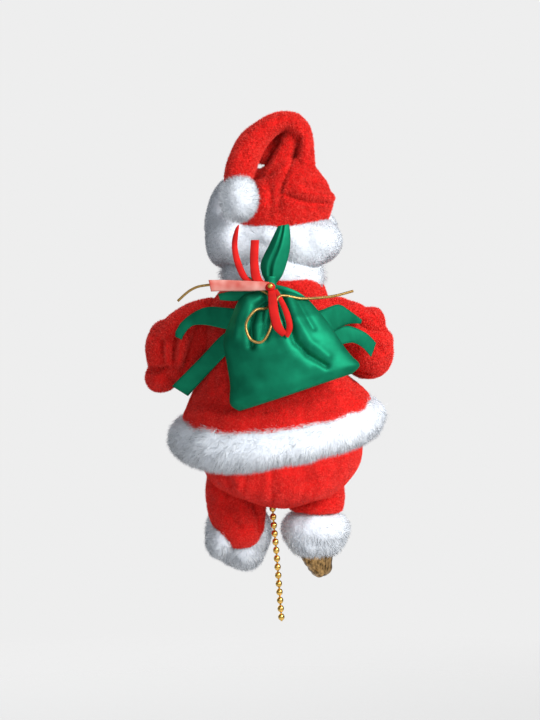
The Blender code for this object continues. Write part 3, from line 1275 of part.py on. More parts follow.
STRAP_ROUTE = [(0.0400, -0.0150, 0.0950), (0.0425, -0.0060, 0.1030), (0.0410, 0.0060, 0.1045),
               (0.0330, 0.0190, 0.1030), (0.0250, 0.0310, 0.0985), (0.0150, STRAP_BACK_Y, 0.0930),
               (0.0085, STRAP_BACK_Y, 0.0860), (0.0150, STRAP_BACK_Y, 0.0800), (0.0260, 0.0320, 0.0770),
               (0.0360, 0.0230, 0.0720), (0.0450, 0.0160, 0.0640), (0.0480, 0.0060, 0.0570)]
STRAP_WIDTHS = [(0.0020, -0.0020, -0.0006), (0.0030, 0.0, -0.0010), (0.0040, 0.0020, -0.0010),
                (0.0020, 0.0020, 0.0040), (0.0, 0.0, 0.0048), (-0.0020, 0.0, 0.0044), (-0.0048, 0.0, 0.0),
                (-0.0020, 0.0, -0.0044), (0.0, 0.0, -0.0048), (-0.0020, 0.0, -0.0044),
                (-0.0030, 0.0010, -0.0036), (-0.0046, 0.0, -0.0012)]


RIGHT_STRAP_END = [(0.0150, STRAP_BACK_Y, 0.0830), (0.0260, 0.0325, 0.0860), (0.0360, 0.0240, 0.0880),
                   (0.0450, 0.0180, 0.0850), (0.0520, 0.0150, 0.0780)]


def build_straps():
    for name, side in (("left", 1), ("right", -1)):
        places = STRAP_ROUTE if side > 0 else STRAP_ROUTE[:-len(RIGHT_STRAP_END)] + RIGHT_STRAP_END
        columns = [(*place, *width) for place, width in zip(places, STRAP_WIDTHS)]
        dense = smooth_route(columns, 0.004)
        route = mirrored([p[:3] for p in dense], side)
        widths = []
        for p in dense:
            width = Vector(p[3:])
            width = width.normalized() * STRAP_HALF
            widths.append((side * width.x, width.y, width.z))
        as_part(strip(route, widths, STRAP_THICKNESS), f"{name}_strap", FINISH["green"])


def build_sack_trim():
    """Red satin ribbon and gold cord, knotted round the neck of the sack."""
    tail = [(0.0320, SACK_RIBBON_Y, 0.1120), (0.0150, SACK_RIBBON_Y + 0.0015, 0.1122),
            (0.0020, SACK_RIBBON_Y + 0.0010, 0.1110),
            (-0.0020, SACK_RIBBON_Y + 0.0030, 0.1060), (-0.0080, SACK_RIBBON_Y + 0.0120, 0.0990),
            (-0.0100, SACK_RIBBON_Y + 0.0155, 0.0900)]
    route = smooth_route(tail, 0.004)
    widths = []
    for i, point in enumerate(route):
        after = Vector(route[min(i + 1, len(route) - 1)]) - Vector(route[max(i - 1, 0)])
        across = after.cross(Vector((0, 1, 0))).normalized()
        widths.append(tuple(across * 0.0026))
    as_part(strip(route, widths, 0.0005), "sack_ribbon", ((0.75, 0.05, 0.05), 0.35))
    cord = [(0.0460, 0.0440, 0.1055), (0.0395, 0.0450, 0.1110), (0.0320, 0.0460, 0.1133),
            (0.0150, 0.0480, 0.1140),
            (0.0020, 0.0495, 0.1090), (0.0020, 0.0545, 0.1030), (0.0080, 0.0600, 0.1020),
            (0.0125, 0.0620, 0.0955), (0.0105, 0.0630, 0.0885), (0.0050, 0.0635, 0.0870),
            (0.0010, 0.0625, 0.0930), (-0.0010, 0.0590, 0.1020), (-0.0040, 0.0540, 0.1085),
            (-0.0150, 0.0500, 0.1070), (-0.0290, 0.0480, 0.1080), (-0.0395, 0.0460, 0.1105)]
    route = smooth_route(cord, 0.0045)
    as_part(tube(route, CORD_RADIUS, 2), "gold_cord", FINISH["gold"])
    print("gold cord mm:", round(1000 * route_length(route), 1))



def build_all():
    build_front_housing()
    build_rear_housing()
    build_housing_screws()
    build_battery_door()
    build_batteries()
    build_contacts()
    build_gear_plate()
    compound_gear("first_gear", FIRST_Z, FIRST_WHEEL_X, FIRST_PINION_X)
    compound_gear("second_gear", SECOND_Z, SECOND_WHEEL_X, SECOND_PINION_X)
    build_drive_wheel()
    build_motor()
    build_crank_shaft()
    build_rods()
    build_arm_levers()
    build_leg_levers()
    build_electrics()
    build_chain()
    build_ring()
    build_tie()
    jacket = build_jacket()
    build_trousers()
    build_hem()
    head = build_head()
    hair = build_hair(head, jacket)
    band = build_hat_band(head, hair)
    hat = build_hat(head, band)
    build_pom_pom(hat, band, hair)
    build_beard(head, jacket, hair, band)
    build_sleeves(jacket)
    build_hands()
    build_legs()
    build_straps()
    build_sack(jacket, hair)
    build_sack_trim()


clear_scene()
parts = new_collection("musical_hanging_santa")
cutters = new_collection("cutters")
figure = bpy.data.objects.new("figure", None)
bpy.context.scene.collection.objects.link(figure)
figure.location = (0, CHAIN_FRONT, -SEAT_TO_RING)
build_all()
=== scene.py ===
# Musical hanging santa: the looks of a plush figure that climbs a ball chain with a sack on its back
#
# Lengths are in millimetres from the seat of the trousers, the figure looks along -Y, and +X is its left
# side. new_mesh, move_points and at() turn places into metres from the top of the hanging ring.

from math import cos, pi, radians, sin

import bpy
import numpy as np
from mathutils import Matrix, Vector


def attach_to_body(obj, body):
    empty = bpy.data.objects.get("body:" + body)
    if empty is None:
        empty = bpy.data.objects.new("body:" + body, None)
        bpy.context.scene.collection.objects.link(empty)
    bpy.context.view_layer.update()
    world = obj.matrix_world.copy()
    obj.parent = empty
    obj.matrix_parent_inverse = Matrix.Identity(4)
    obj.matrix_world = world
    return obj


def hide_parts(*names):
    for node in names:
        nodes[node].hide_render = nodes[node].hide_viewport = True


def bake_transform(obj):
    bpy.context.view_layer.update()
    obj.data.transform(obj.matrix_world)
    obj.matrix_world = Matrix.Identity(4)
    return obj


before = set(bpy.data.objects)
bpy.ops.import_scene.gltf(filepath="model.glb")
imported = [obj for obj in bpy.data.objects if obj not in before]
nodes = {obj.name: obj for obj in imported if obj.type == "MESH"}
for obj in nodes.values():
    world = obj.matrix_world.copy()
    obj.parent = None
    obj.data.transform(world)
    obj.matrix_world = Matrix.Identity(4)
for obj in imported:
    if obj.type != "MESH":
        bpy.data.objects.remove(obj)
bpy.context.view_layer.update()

MM = 0.001
SEAT = np.array((0.0, 0.051, -0.189))   # the seat of the trousers, from the top of the hanging ring
SIDES = (("left", 1), ("right", -1))    # the figure's own left is at +X

FIBRE_SHARE = 1.0


# Camera

PICTURE_WIDTH = 540
PICTURE_HEIGHT = 720
FOCAL_PIXELS = 2200.0
CAMERA_DISTANCE = 1100.0
CAMERA_RISE = radians(5)
SENSOR_HEIGHT = 24.0
NEAREST = 0.05
FARTHEST = 50.0
AIM = np.array((1.0, 20.0, 74.5))
TO_CAMERA = np.array((0.0, cos(CAMERA_RISE), sin(CAMERA_RISE)))
PICTURE_RIGHT = np.array((-1.0, 0.0, 0.0))
PICTURE_UP = np.array((0.0, -sin(CAMERA_RISE), cos(CAMERA_RISE)))
EYE = AIM + CAMERA_DISTANCE * TO_CAMERA


def at(x, y, z):
    """A point of the figure in the metres of the frame."""
    return Vector(np.array((x, y, z)) * MM + SEAT)


def build_camera():
    data = bpy.data.cameras.new("camera")
    data.sensor_fit = "VERTICAL"
    data.sensor_height = SENSOR_HEIGHT
    data.lens = FOCAL_PIXELS / PICTURE_HEIGHT * SENSOR_HEIGHT
    data.clip_start = NEAREST
    data.clip_end = FARTHEST
    camera = bpy.data.objects.new("camera", data)
    camera.location = at(*EYE)
    camera.rotation_euler = (pi / 2 - CAMERA_RISE, 0, pi)
    bpy.context.scene.collection.objects.link(camera)
    bpy.context.scene.camera = camera


def seen(px, py, y):
    """The point at depth y that lies at a position of the picture."""
    ray = (-TO_CAMERA + PICTURE_RIGHT * (px - PICTURE_WIDTH / 2) / FOCAL_PIXELS
           + PICTURE_UP * (PICTURE_HEIGHT / 2 - py) / FOCAL_PIXELS)
    return tuple(EYE + ray * (y - EYE[1]) / ray[1])


def picture(points):
    """Where points lie in the picture."""
    away = points - EYE
    depth = -(away @ TO_CAMERA)
    return (PICTURE_WIDTH / 2 + FOCAL_PIXELS * (away @ PICTURE_RIGHT) / depth,
            PICTURE_HEIGHT / 2 - FOCAL_PIXELS * (away @ PICTURE_UP) / depth)


# Curves and meshes

def smooth_route(points, spacing):
    """Points about a spacing apart on a smooth curve; further columns ride along."""
    points = np.array(points, float)
    padded = np.vstack((points[:1], points, points[-1:]))
    fine = 24
    dense = []
    for a, b, c, d in zip(padded, padded[1:], padded[2:], padded[3:]):
        for t in np.arange(fine) / fine:
            dense.append(0.5 * (2 * b + (c - a) * t + (2 * a - 5 * b + 4 * c - d) * t * t
                                + (3 * b - a - 3 * c + d) * t ** 3))
    dense.append(points[-1])
    dense = np.array(dense)
    along = np.concatenate(([0], np.cumsum(np.linalg.norm(np.diff(dense[:, :3], axis=0), axis=1))))
    count = max(2, round(along[-1] / spacing))
    wanted = np.linspace(0, along[-1], count + 1)
    return np.column_stack([np.interp(wanted, along, column) for column in dense.T])


def unit(vectors):
    return vectors / np.maximum(np.linalg.norm(vectors, axis=-1, keepdims=True), 1e-9)


def turns(count):
    """Angles at equal steps round a full turn."""
    return np.arange(count) * 2 * pi / count


def squared(values, power):
    """Sines or cosines with their signs, raised to a power: under 1, an oval grows corners."""
    return np.sign(values) * np.abs(values) ** power


def new_mesh(name, points, faces):
    """A smooth mesh object from points in millimetres of the figure."""
    mesh = bpy.data.meshes.new(name)
    points = np.asarray(points, float) * MM + SEAT
    if isinstance(faces, np.ndarray):
        mesh.vertices.add(len(points))
        mesh.vertices.foreach_set("co", points.astype(np.float32).ravel())
        mesh.loops.add(faces.size)
        mesh.loops.foreach_set("vertex_index", faces.astype(np.int32).ravel())
        mesh.polygons.add(len(faces))
        mesh.polygons.foreach_set("loop_start", np.arange(0, faces.size, faces.shape[1], dtype=np.int32))
        mesh.update(calc_edges=True)
    else:
        mesh.from_pydata(points.tolist(), [], faces)
    mesh.shade_smooth()
    item = bpy.data.objects.new(name, mesh)
    bpy.context.scene.collection.objects.link(item)
    return item


def grid_faces(rows, columns, closed):
    """Faces of a grid of points, closed round its columns or not."""
    width = columns if closed else columns - 1
    i, j = np.meshgrid(np.arange(rows - 1), np.arange(width), indexing="ij")
    a = i * columns + j
    b = i * columns + (j + 1) % columns
    return np.column_stack((a.ravel(), b.ravel(), (b + columns).ravel(), (a + columns).ravel()))


def rings_shape(rings):
    """Points and faces of a closed skin over rings of points."""
    rings = np.array(rings)
    rows, columns = rings.shape[:2]
    faces = [tuple(f) for f in grid_faces(rows, columns, True)]
    faces.append(tuple(range(columns - 1, -1, -1)))
    faces.append(tuple(range((rows - 1) * columns, rows * columns)))
    return rings.reshape(-1, 3), faces


def joined_shapes(shapes):
    """Several shapes as one."""
    points, faces, count = [], [], 0
    for shape_points, shape_faces in shapes:
        faces += [tuple(corner + count for corner in face) for face in shape_faces]
        points.append(np.asarray(shape_points))
        count += len(shape_points)
    return np.vstack(points), faces


def egg(centre, radii, turn=0.0):
    """A ball with three radii, turned in the plane of the picture."""
    rings, segments = 18, 26
    rows = []
    for i in range(1, rings):
        polar = pi * i / rings
        z = -radii[2] * cos(polar)
        row = []
        for j in range(segments):
            angle = 2 * pi * j / segments
            x = radii[0] * sin(polar) * cos(angle)
            y = radii[1] * sin(polar) * sin(angle)
            row.append((centre[0] + x * cos(turn) - z * sin(turn), centre[1] + y,
                        centre[2] + x * sin(turn) + z * cos(turn)))
        rows.append(row)
    return rings_shape(rows)


PIPE_SIDES = 20
CAP_SLOPES = [radians(degrees) for degrees in (25, 50, 70, 84)]


def pipe(stations, spacing=2.0, rounded=False):
    """A stuffed tube: stations are (x, y, z, half width, half depth), or (x, y, z, radius) where it is round.

    The depth lies along Y. Rounded ends are domes.
    """
    route = smooth_route(stations, spacing)
    along = unit(np.gradient(route[:, :3], axis=0))
    depth_axis = np.array((0.0, 1.0, 0.0)) - along * along[:, 1:2]
    weak = np.linalg.norm(depth_axis, axis=1) < 0.3
    depth_axis[weak] = np.array((0.0, 0.0, 1.0)) - along[weak] * along[weak][:, 2:3]
    depth_axis = unit(depth_axis)
    side_axis = np.cross(along, depth_axis)
    angles = turns(PIPE_SIDES)

    def ring(index, shift=0.0, share=1.0):
        place, half_width, half_depth = route[index][:3], route[index][3], route[index][-1]
        return (place + along[index] * shift * half_width
                + np.outer(np.cos(angles), side_axis[index]) * half_width * share
                + np.outer(np.sin(angles), depth_axis[index]) * half_depth * share)

    rings = [ring(i) for i in range(len(route))]
    if rounded:
        rings = ([ring(0, -sin(a), cos(a)) for a in reversed(CAP_SLOPES)] + rings
                 + [ring(-1, sin(a), cos(a)) for a in CAP_SLOPES])
    return rings_shape(rings)


def applied(item):
    """Gives an object the mesh that its modifiers make."""
    bpy.context.view_layer.update()
    mesh = bpy.data.meshes.new_from_object(item.evaluated_get(bpy.context.evaluated_depsgraph_get()))
    item.modifiers.clear()
    item.data = mesh
    mesh.shade_smooth()
    return item


def blob(name, shapes, voxel=0.9, soften=6):
    """One soft skin over several overlapping shapes."""
    item = new_mesh(name, *joined_shapes(shapes))
    skin = item.modifiers.new("skin", "REMESH")
    skin.mode = "VOXEL"
    skin.voxel_size = voxel * MM
    smooth = item.modifiers.new("soften", "SMOOTH")
    smooth.factor = 0.5
    smooth.iterations = soften
    return applied(item)


def mesh_points(item):
    """Points and normals of a mesh, in millimetres of the figure."""
    mesh = item.data
    points = np.empty(len(mesh.vertices) * 3, np.float32)
    mesh.vertices.foreach_get("co", points)
    normals = np.empty(len(mesh.vertices) * 3, np.float32)
    mesh.vertex_normals.foreach_get("vector", normals)
    return (points.reshape(-1, 3).astype(float) - SEAT) / MM, normals.reshape(-1, 3).astype(float)


def move_points(item, points):
    item.data.vertices.foreach_set("co", (points * MM + SEAT).astype(np.float32).ravel())
    item.data.update()


# Folds and lumps

def line_distance(px, py, line):
    """Distance in the picture from positions to a bent line."""
    best = np.full(len(px), 1e9)
    for (ax, ay), (bx, by) in zip(line, line[1:]):
        dx, dy = bx - ax, by - ay
        t = np.clip(((px - ax) * dx + (py - ay) * dy) / max(dx * dx + dy * dy, 1e-9), 0, 1)
        best = np.minimum(best, np.hypot(px - ax - t * dx, py - ay - t * dy))
    return best


def folded(item, folds):
    """Pushes the side that the picture shows in or out along lines: (height, width in pixels, positions)."""
    points, normals = mesh_points(item)
    px, py = picture(points)
    facing = np.clip(normals @ TO_CAMERA, 0, 1) ** 0.5
    push = np.zeros(len(points))
    for height, width, line in folds:
        push += height * np.exp(-(line_distance(px, py, line) / width) ** 2)
    move_points(item, points + normals * (push * facing)[:, None])


def lumps(points, size, seed):
    """A soft random field, mostly between -1 and 1, with lumps of about a size."""
    random = np.random.default_rng(seed)
    total = np.zeros(len(points))
    bend = np.zeros_like(points)
    for _ in range(3):
        turn = unit(random.normal(size=3))
        waves = points @ unit(random.normal(size=3)) / size + random.uniform(0, 6)
        bend += 0.35 * size * np.outer(np.sin(waves), turn)
    count = 7
    for _ in range(count):
        direction = unit(random.normal(size=3)) * random.uniform(0.7, 1.4) * pi / size
        total += np.sin((points + bend) @ direction + random.uniform(0, 2 * pi))
    return total / count * 1.6


def lumpy(item, height, size, seed):
    """Gives a mesh soft lumps of a height and size."""
    points, normals = mesh_points(item)
    move_points(item, points + normals * (height * lumps(points, size, seed))[:, None])


# Fibres

def sampled(item, per_square_mm, random, keep):
    """Random places all over a mesh, with the normals there."""
    points, normals = mesh_points(item)
    mesh = item.data
    mesh.calc_loop_triangles()
    corners = np.empty(len(mesh.loop_triangles) * 3, np.int32)
    mesh.loop_triangles.foreach_get("vertices", corners)
    corners = corners.reshape(-1, 3)
    a, b, c = points[corners[:, 0]], points[corners[:, 1]], points[corners[:, 2]]
    areas = np.linalg.norm(np.cross(b - a, c - a), axis=1) / 2
    count = int(areas.sum() * per_square_mm * FIBRE_SHARE)
    chosen = np.searchsorted(np.cumsum(areas) / areas.sum(), random.random(count)).clip(0, len(areas) - 1)
    u, v = random.random((2, count))
    flip = u + v > 1
    u[flip], v[flip] = 1 - u[flip], 1 - v[flip]
    weights = np.column_stack((1 - u - v, u, v))
    places = np.einsum("ij,ijk->ik", weights, points[corners[chosen]])
    facing = unit(np.einsum("ij,ijk->ik", weights, normals[corners[chosen]]))
    if keep is not None:
        kept = random.random(count) < keep(places, facing)
        places, facing = places[kept], facing[kept]
    return places, facing


def combed(x, y, z):
    """A comb that lays fibres one way all over."""
    return lambda points: np.full_like(points, (x, y, z))


def fibre_triangles(steps):
    """Triangles of one flat fibre: a pair of points for each step, and one at its tip."""
    triangles = []
    for k in range(steps - 1):
        a = 2 * k
        triangles += [(a, a + 1, a + 3), (a, a + 3, a + 2)]
    triangles.append((2 * steps - 2, 2 * steps - 1, 2 * steps))
    return np.array(triangles)


PIECE_TRIANGLES = 190000    # the most that one piece of fibres holds
LENGTH_SPREAD = (0.55, 1.1)
WIDTH_SPREAD = (0.6, 1.2)
FIBRE_TAPER = 0.55          # how much of its width a fibre loses towards its tip


def fibres(name, item, body, material, density, length, width, comb=combed(0, 0, 0), lift=1.0, bow=0.5,
           wander=0.35, tufts=0.0, tuft_size=4.0, steps=2, keep=None, seed=1, shadow=False):
    """Grows fibres on a mesh. They leave it with some lift and bow over towards the comb direction."""
    random = np.random.default_rng(seed)
    roots, normals = sampled(item, density, random, keep)
    count = len(roots)
    lengths = length * random.uniform(*LENGTH_SPREAD, count)
    combing = comb(roots)
    stray = random.normal(size=(count, 3)) * wander
    tuft = np.column_stack([lumps(roots, tuft_size, seed + k) for k in range(3)]) * tufts
    start = unit(normals * lift + combing * (1 - bow) * 0.6 + stray + 0.4 * tuft)
    end = unit(normals * lift * (1 - bow) + combing + stray * 1.4 + tuft)
    middle = roots + start * (lengths * 0.5)[:, None]
    tip = middle + end * (lengths * 0.5)[:, None]
    side = unit(np.cross(end + start, normals + random.normal(size=(count, 3)) * 0.5))
    side *= (width * random.uniform(*WIDTH_SPREAD, count) / 2)[:, None]
    rows = []
    for k in range(steps):
        t = k / steps
        place = (1 - t) ** 2 * roots + 2 * t * (1 - t) * middle + t * t * tip
        taper = 1 - FIBRE_TAPER * t
        rows += [place - side * taper, place + side * taper]
    rows.append(tip)
    per_fibre = len(rows)
    points = np.stack(rows, axis=1).reshape(-1, 3)
    triangles = fibre_triangles(steps)
    tone = random.random(count)
    limit = PIECE_TRIANGLES // len(triangles)
    for number, first in enumerate(range(0, count, limit)):
        last = min(count, first + limit)
        faces = (np.arange(last - first)[:, None, None] * per_fibre + triangles).reshape(-1, 3)
        piece = new_mesh(f"{name}_{number + 1}", points[first * per_fibre:last * per_fibre], faces)
        tones = piece.data.attributes.new("tone", "FLOAT", "POINT")
        tones.data.foreach_set("value", np.repeat(tone[first:last], per_fibre).astype(np.float32))
        shading = unit(normals[first:last] + start[first:last] * 0.4
                       + random.normal(size=(last - first, 3)) * 0.35)
        if steps > 1:
            piece.data.normals_split_custom_set_from_vertices(np.repeat(shading, per_fibre, axis=0).tolist())
        piece.data.materials.append(material)
        piece.visible_shadow = shadow
        attach(piece, body)


def attach(item, body):
    """Rides on a body; where body is (a, b, start, end) instead, it only keeps its place in the frame."""
    if isinstance(body, str):
        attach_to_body(item, body)
    else:
        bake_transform(item)


def dress(item, name, body, material, slot, *replaced):
    """Names a finished piece, gives it its material, and hides the plain solids that it stands for."""
    item.name = name
    item.data.materials.clear()
    item.data.materials.append(material)
    attach(item, body)
    if replaced:
        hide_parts(*replaced)
    return item


# Materials

def new_material(name):
    """A material with its nodes, links and main shader."""
    material = bpy.data.materials.new(name)
    material.use_nodes = True
    tree = material.node_tree
    return material, tree.nodes, tree.links, tree.nodes["Principled BSDF"]


def set_inputs(node, **values):
    """Sets inputs of a shader node; an underscore stands for a space in an input's name."""
    for name, value in values.items():
        node.inputs[name.replace("_", " ")].default_value = value


def mapped(nodes_, links, texture, stretch=(1, 1, 1), turn=0.0):
    """Lays a texture on an object's own coordinates."""
    coordinates = nodes_.new("ShaderNodeTexCoord")
    mapping = nodes_.new("ShaderNodeMapping")
    set_inputs(mapping, Scale=stretch, Rotation=(0, turn, 0))
    links.new(coordinates.outputs["Object"], mapping.inputs["Vector"])
    links.new(mapping.outputs["Vector"], texture.inputs["Vector"])
    return texture.outputs["Fac"]


def noise(nodes_, links, size, detail=3.0, stretch=(1, 1, 1)):
    """Noise with features of a size in millimetres."""
    texture = nodes_.new("ShaderNodeTexNoise")
    set_inputs(texture, Scale=1 / (size * MM), Detail=detail)
    return mapped(nodes_, links, texture, stretch)


def ramp(nodes_, links, factor, dark, light, start=0.3, end=0.7):
    """A colour that goes from dark to light while a factor goes from start to end."""
    node = nodes_.new("ShaderNodeValToRGB")
    for element, place, colour in zip(node.color_ramp.elements, (start, end), (dark, light)):
        element.position = place
        element.color = (*colour, 1)
    links.new(factor, node.inputs["Fac"])
    return node.outputs["Color"]


def shade_of(colour, factor):
    """A colour made lighter or darker."""
    return tuple(min(1.0, c * factor) for c in colour)


def bumped(nodes_, links, shader, height, strength, distance):
    """Gives a shader a fine relief."""
    bump = nodes_.new("ShaderNodeBump")
    set_inputs(bump, Strength=strength, Distance=distance * MM)
    links.new(height, bump.inputs["Height"])
    links.new(bump.outputs["Normal"], shader.inputs["Normal"])


def surface(name, colour, roughness, metallic=0.0, size=3.0, variation=0.12, bump=0.2, bump_size=0.6,
            stretch=(1, 1, 1), coat=0.0, sheen=0.0, specular=0.5):
    """A plain finish with some variation in its colour and a fine relief."""
    material, nodes_, links, shader = new_material(name)
    field = noise(nodes_, links, size, stretch=stretch)
    colours = ramp(nodes_, links, field, shade_of(colour, 1 - variation), shade_of(colour, 1 + variation))
    links.new(colours, shader.inputs["Base Color"])
    set_inputs(shader, Roughness=roughness, Metallic=metallic, Coat_Weight=coat, Sheen_Weight=sheen,
               Specular_IOR_Level=specular)
    bumped(nodes_, links, shader, noise(nodes_, links, bump_size, stretch=stretch), bump, 0.1)
    return material


def fibre_finish(name, dark, light, roughness, specular):
    """Each fibre has its own tone between two colours."""
    material, nodes_, links, shader = new_material(name)
    tone = nodes_.new("ShaderNodeAttribute")
    tone.attribute_name = "tone"
    colours = ramp(nodes_, links, tone.outputs["Fac"], dark, light, 0.0, 1.0)
    links.new(colours, shader.inputs["Base Color"])
    set_inputs(shader, Roughness=roughness, Specular_IOR_Level=specular)
    return material


BAND_PERIOD = 0.31      # of a band texture at scale 1
SATIN_GLOSS = 0.16


def satin(name, colour, roughness, weave=0.35, turn=0.7, light=None, metallic=0.0):
    """Satin: a fine diagonal weave, a soft gloss, and a little change of tone; where a light colour is given,
    its noise patches are painted highlight.
    """
    material, nodes_, links, shader = new_material(name)
    field = noise(nodes_, links, 9.0, detail=2.0)
    # a light colour, where given, paints pale patches of painted highlight
    colours = ramp(nodes_, links, field, shade_of(colour, 0.82), light or shade_of(colour, 1.2))
    links.new(colours, shader.inputs["Base Color"])
    set_inputs(shader, Roughness=roughness, Metallic=metallic, Specular_IOR_Level=SATIN_GLOSS,
               Specular_Tint=(*shade_of(colour, 0.8), 1.0))
    wave = nodes_.new("ShaderNodeTexWave")
    wave.wave_type = "BANDS"
    wave.bands_direction = "X"
    set_inputs(wave, Scale=BAND_PERIOD / (weave * MM), Distortion=1.5, Detail=2.0)
    bumped(nodes_, links, shader, mapped(nodes_, links, wave, turn=turn), 0.25, 0.05)
    return material


RED_PLUSH = (0.70, 0.010, 0.008)
PLUSH = surface("red_plush_cloth", RED_PLUSH, 0.85, size=6.0, variation=0.2, bump=0.5, sheen=0.1,
                specular=0.2)
PLUSH_PILE = fibre_finish("red_plush_pile", RED_PLUSH, (1.0, 0.090, 0.066), 0.5, 0.2)
FUR_CLOTH = surface("white_fur_backing", (0.70, 0.74, 0.80), 0.9, size=4.0, variation=0.05, bump=0.6,
                    specular=0.2)
FUR_PILE = fibre_finish("white_fur_pile", (0.74, 0.79, 0.86), (0.86, 0.89, 0.93), 0.6, 0.2)
FLEECE_PILE = fibre_finish("white_fleece_pile", (0.74, 0.78, 0.84), (0.79, 0.83, 0.88), 0.8, 0.1)
GREEN_SATIN = satin("green_satin", (0.010, 0.240, 0.128), 0.6, metallic=0.75)
RED_SATIN = satin("red_satin", (0.62, 0.02, 0.018), 0.36, 0.25)
# A paler copy of the red satin for the ribbon's tail: painted sheen, with pale patches of painted highlight
# from its light colour
RED_SATIN_PAINTED_SHEEN = satin("red_satin_painted_sheen", (0.78, 0.13, 0.10), 0.32, 0.25, 0.0, (0.93, 0.50, 0.44))
GOLD = surface("gold_plating", (0.80, 0.50, 0.12), 0.2, 1.0, size=2.0, variation=0.15, bump=0.15,
               bump_size=0.5)
GOLD_THREAD = surface("gold_thread", (0.42, 0.25, 0.07), 0.35, 0.7, size=0.8, variation=0.35, bump=0.8,
                      bump_size=0.35)
BRIGHT_THREAD = surface("bright_gold_thread", (0.75, 0.55, 0.10), 0.3, 0.8, size=0.6, variation=0.3, bump=0.8,
                        bump_size=0.3)
SHELL = surface("off_white_plastic", (0.72, 0.71, 0.67), 0.42, size=14.0, variation=0.04, bump=0.08)
NYLON = surface("nylon", (0.82, 0.80, 0.72), 0.4, size=6.0, variation=0.04, bump=0.06, bump_size=0.4)
STEEL = surface("steel", (0.60, 0.60, 0.62), 0.3, 1.0, size=1.2, variation=0.1, bump=0.25, bump_size=0.3,
                stretch=(1, 1, 0.15))
CELL = surface("cell_sleeve", (0.06, 0.16, 0.32), 0.3, 0.4, size=8.0, variation=0.1, bump=0.05, coat=0.4)
BOARD = surface("board_lacquer", (0.02, 0.19, 0.08), 0.35, variation=0.15, bump=0.15)
BLACK = surface("black_plastic", (0.022, 0.022, 0.024), 0.42, size=5.0, variation=0.15, bump=0.12)
CONE = surface("speaker_cone", (0.03, 0.03, 0.032), 0.7, size=2.0, variation=0.25, bump=0.4)
TIE_SLEEVE = surface("tie_sleeve", (0.55, 0.05, 0.05), 0.45, size=2.0, variation=0.15)

CAD_FINISHES = (
    (SHELL, "front_housing rear_housing battery_door gear_plate left_arm_lever right_arm_lever "
            "left_leg_lever right_leg_lever"),
    (STEEL, "housing_screw_upper housing_screw_lower battery_bridge_contact battery_positive_contact "
            "battery_negative_spring motor motor_pinion crank_shaft switch_body"),
    (CELL, "battery_left battery_right"),
    (NYLON, "first_gear second_gear drive_wheel left_crank right_crank left_rod right_rod"),
    (BOARD, "circuit_board"),
    (BLACK, "switch_knob"),
    (CONE, "speaker"),
    (TIE_SLEEVE, "chain_tie"),
    (GOLD, "hanging_ring"),
)


def finish_cad_nodes():
    for material, names in CAD_FINISHES:
        for name in names.split():
            mesh = nodes[name].data
            mesh.materials.clear()
            mesh.materials.append(material)


# Chain

CHAIN_FRONT = 51.0
BEAD_RADIUS = 1.7
BEAD_PITCH = 4.3
BEAD_STRETCH = 1.12
LINK_RADIUS = 0.5
ASKEW = (0.31, 0.87, 0.38)      # a direction that no stretch of the chain follows
HOUSING_BOTTOM = 12.0
HOUSING_FRONT = -30.0
AXLE_Y = -8.0
AXLE_Z = 34.0
WHEEL_BEADS = 12
WHEEL_RADIUS = WHEEL_BEADS * BEAD_PITCH / (2 * pi)
CHAIN_DOWN_Y = AXLE_Y + WHEEL_RADIUS
CHEST_PORT_Z = 51.0
HANK_TOP = 69.0
HANK_BOTTOM = 23.0
HANK_Y = -CHAIN_FRONT - 0.5
HANK_COLUMNS = 4
HANK_STEP = 2 * BEAD_RADIUS + 0.6
RING_RADIUS = 5.2
CHAIN_TOP_Z = 189.0 - 2 * RING_RADIUS - 0.6
GAP = 0.3


def hank_route():
    """Runs up and down in two layers: each turn steps sideways, and the middle one crosses to the back."""
    column_x = [(i - (HANK_COLUMNS - 1) / 2) * HANK_STEP for i in range(HANK_COLUMNS)]
    low, high = HANK_BOTTOM + HANK_STEP, HANK_TOP - HANK_STEP
    layers = (HANK_Y - HANK_STEP / 2, HANK_Y + HANK_STEP / 2)
    runs = [(x, layers[0]) for x in column_x] + [(x, layers[1]) for x in reversed(column_x)]
    points = [(*runs[0], HANK_TOP)]
    run_steps, bend_steps = 4, 8
    upward = False
    for number, (x, y) in enumerate(runs):
        start, end = (low, high) if upward else (high, low)
        points += [(x, y, start + (end - start) * i / run_steps) for i in range(run_steps + 1)]
        if number + 1 < len(runs):
            next_x, next_y = runs[number + 1]
            side = 1 if upward else -1
            for i in range(1, bend_steps):
                angle = pi * i / bend_steps
                share = (1 - cos(angle)) / 2
                points.append((x + (next_x - x) * share, y + (next_y - y) * share,
                               end + side * HANK_STEP / 2 * sin(angle)))
        upward = not upward
    points.append((points[-1][0], points[-1][1], HANK_TOP))
    return points


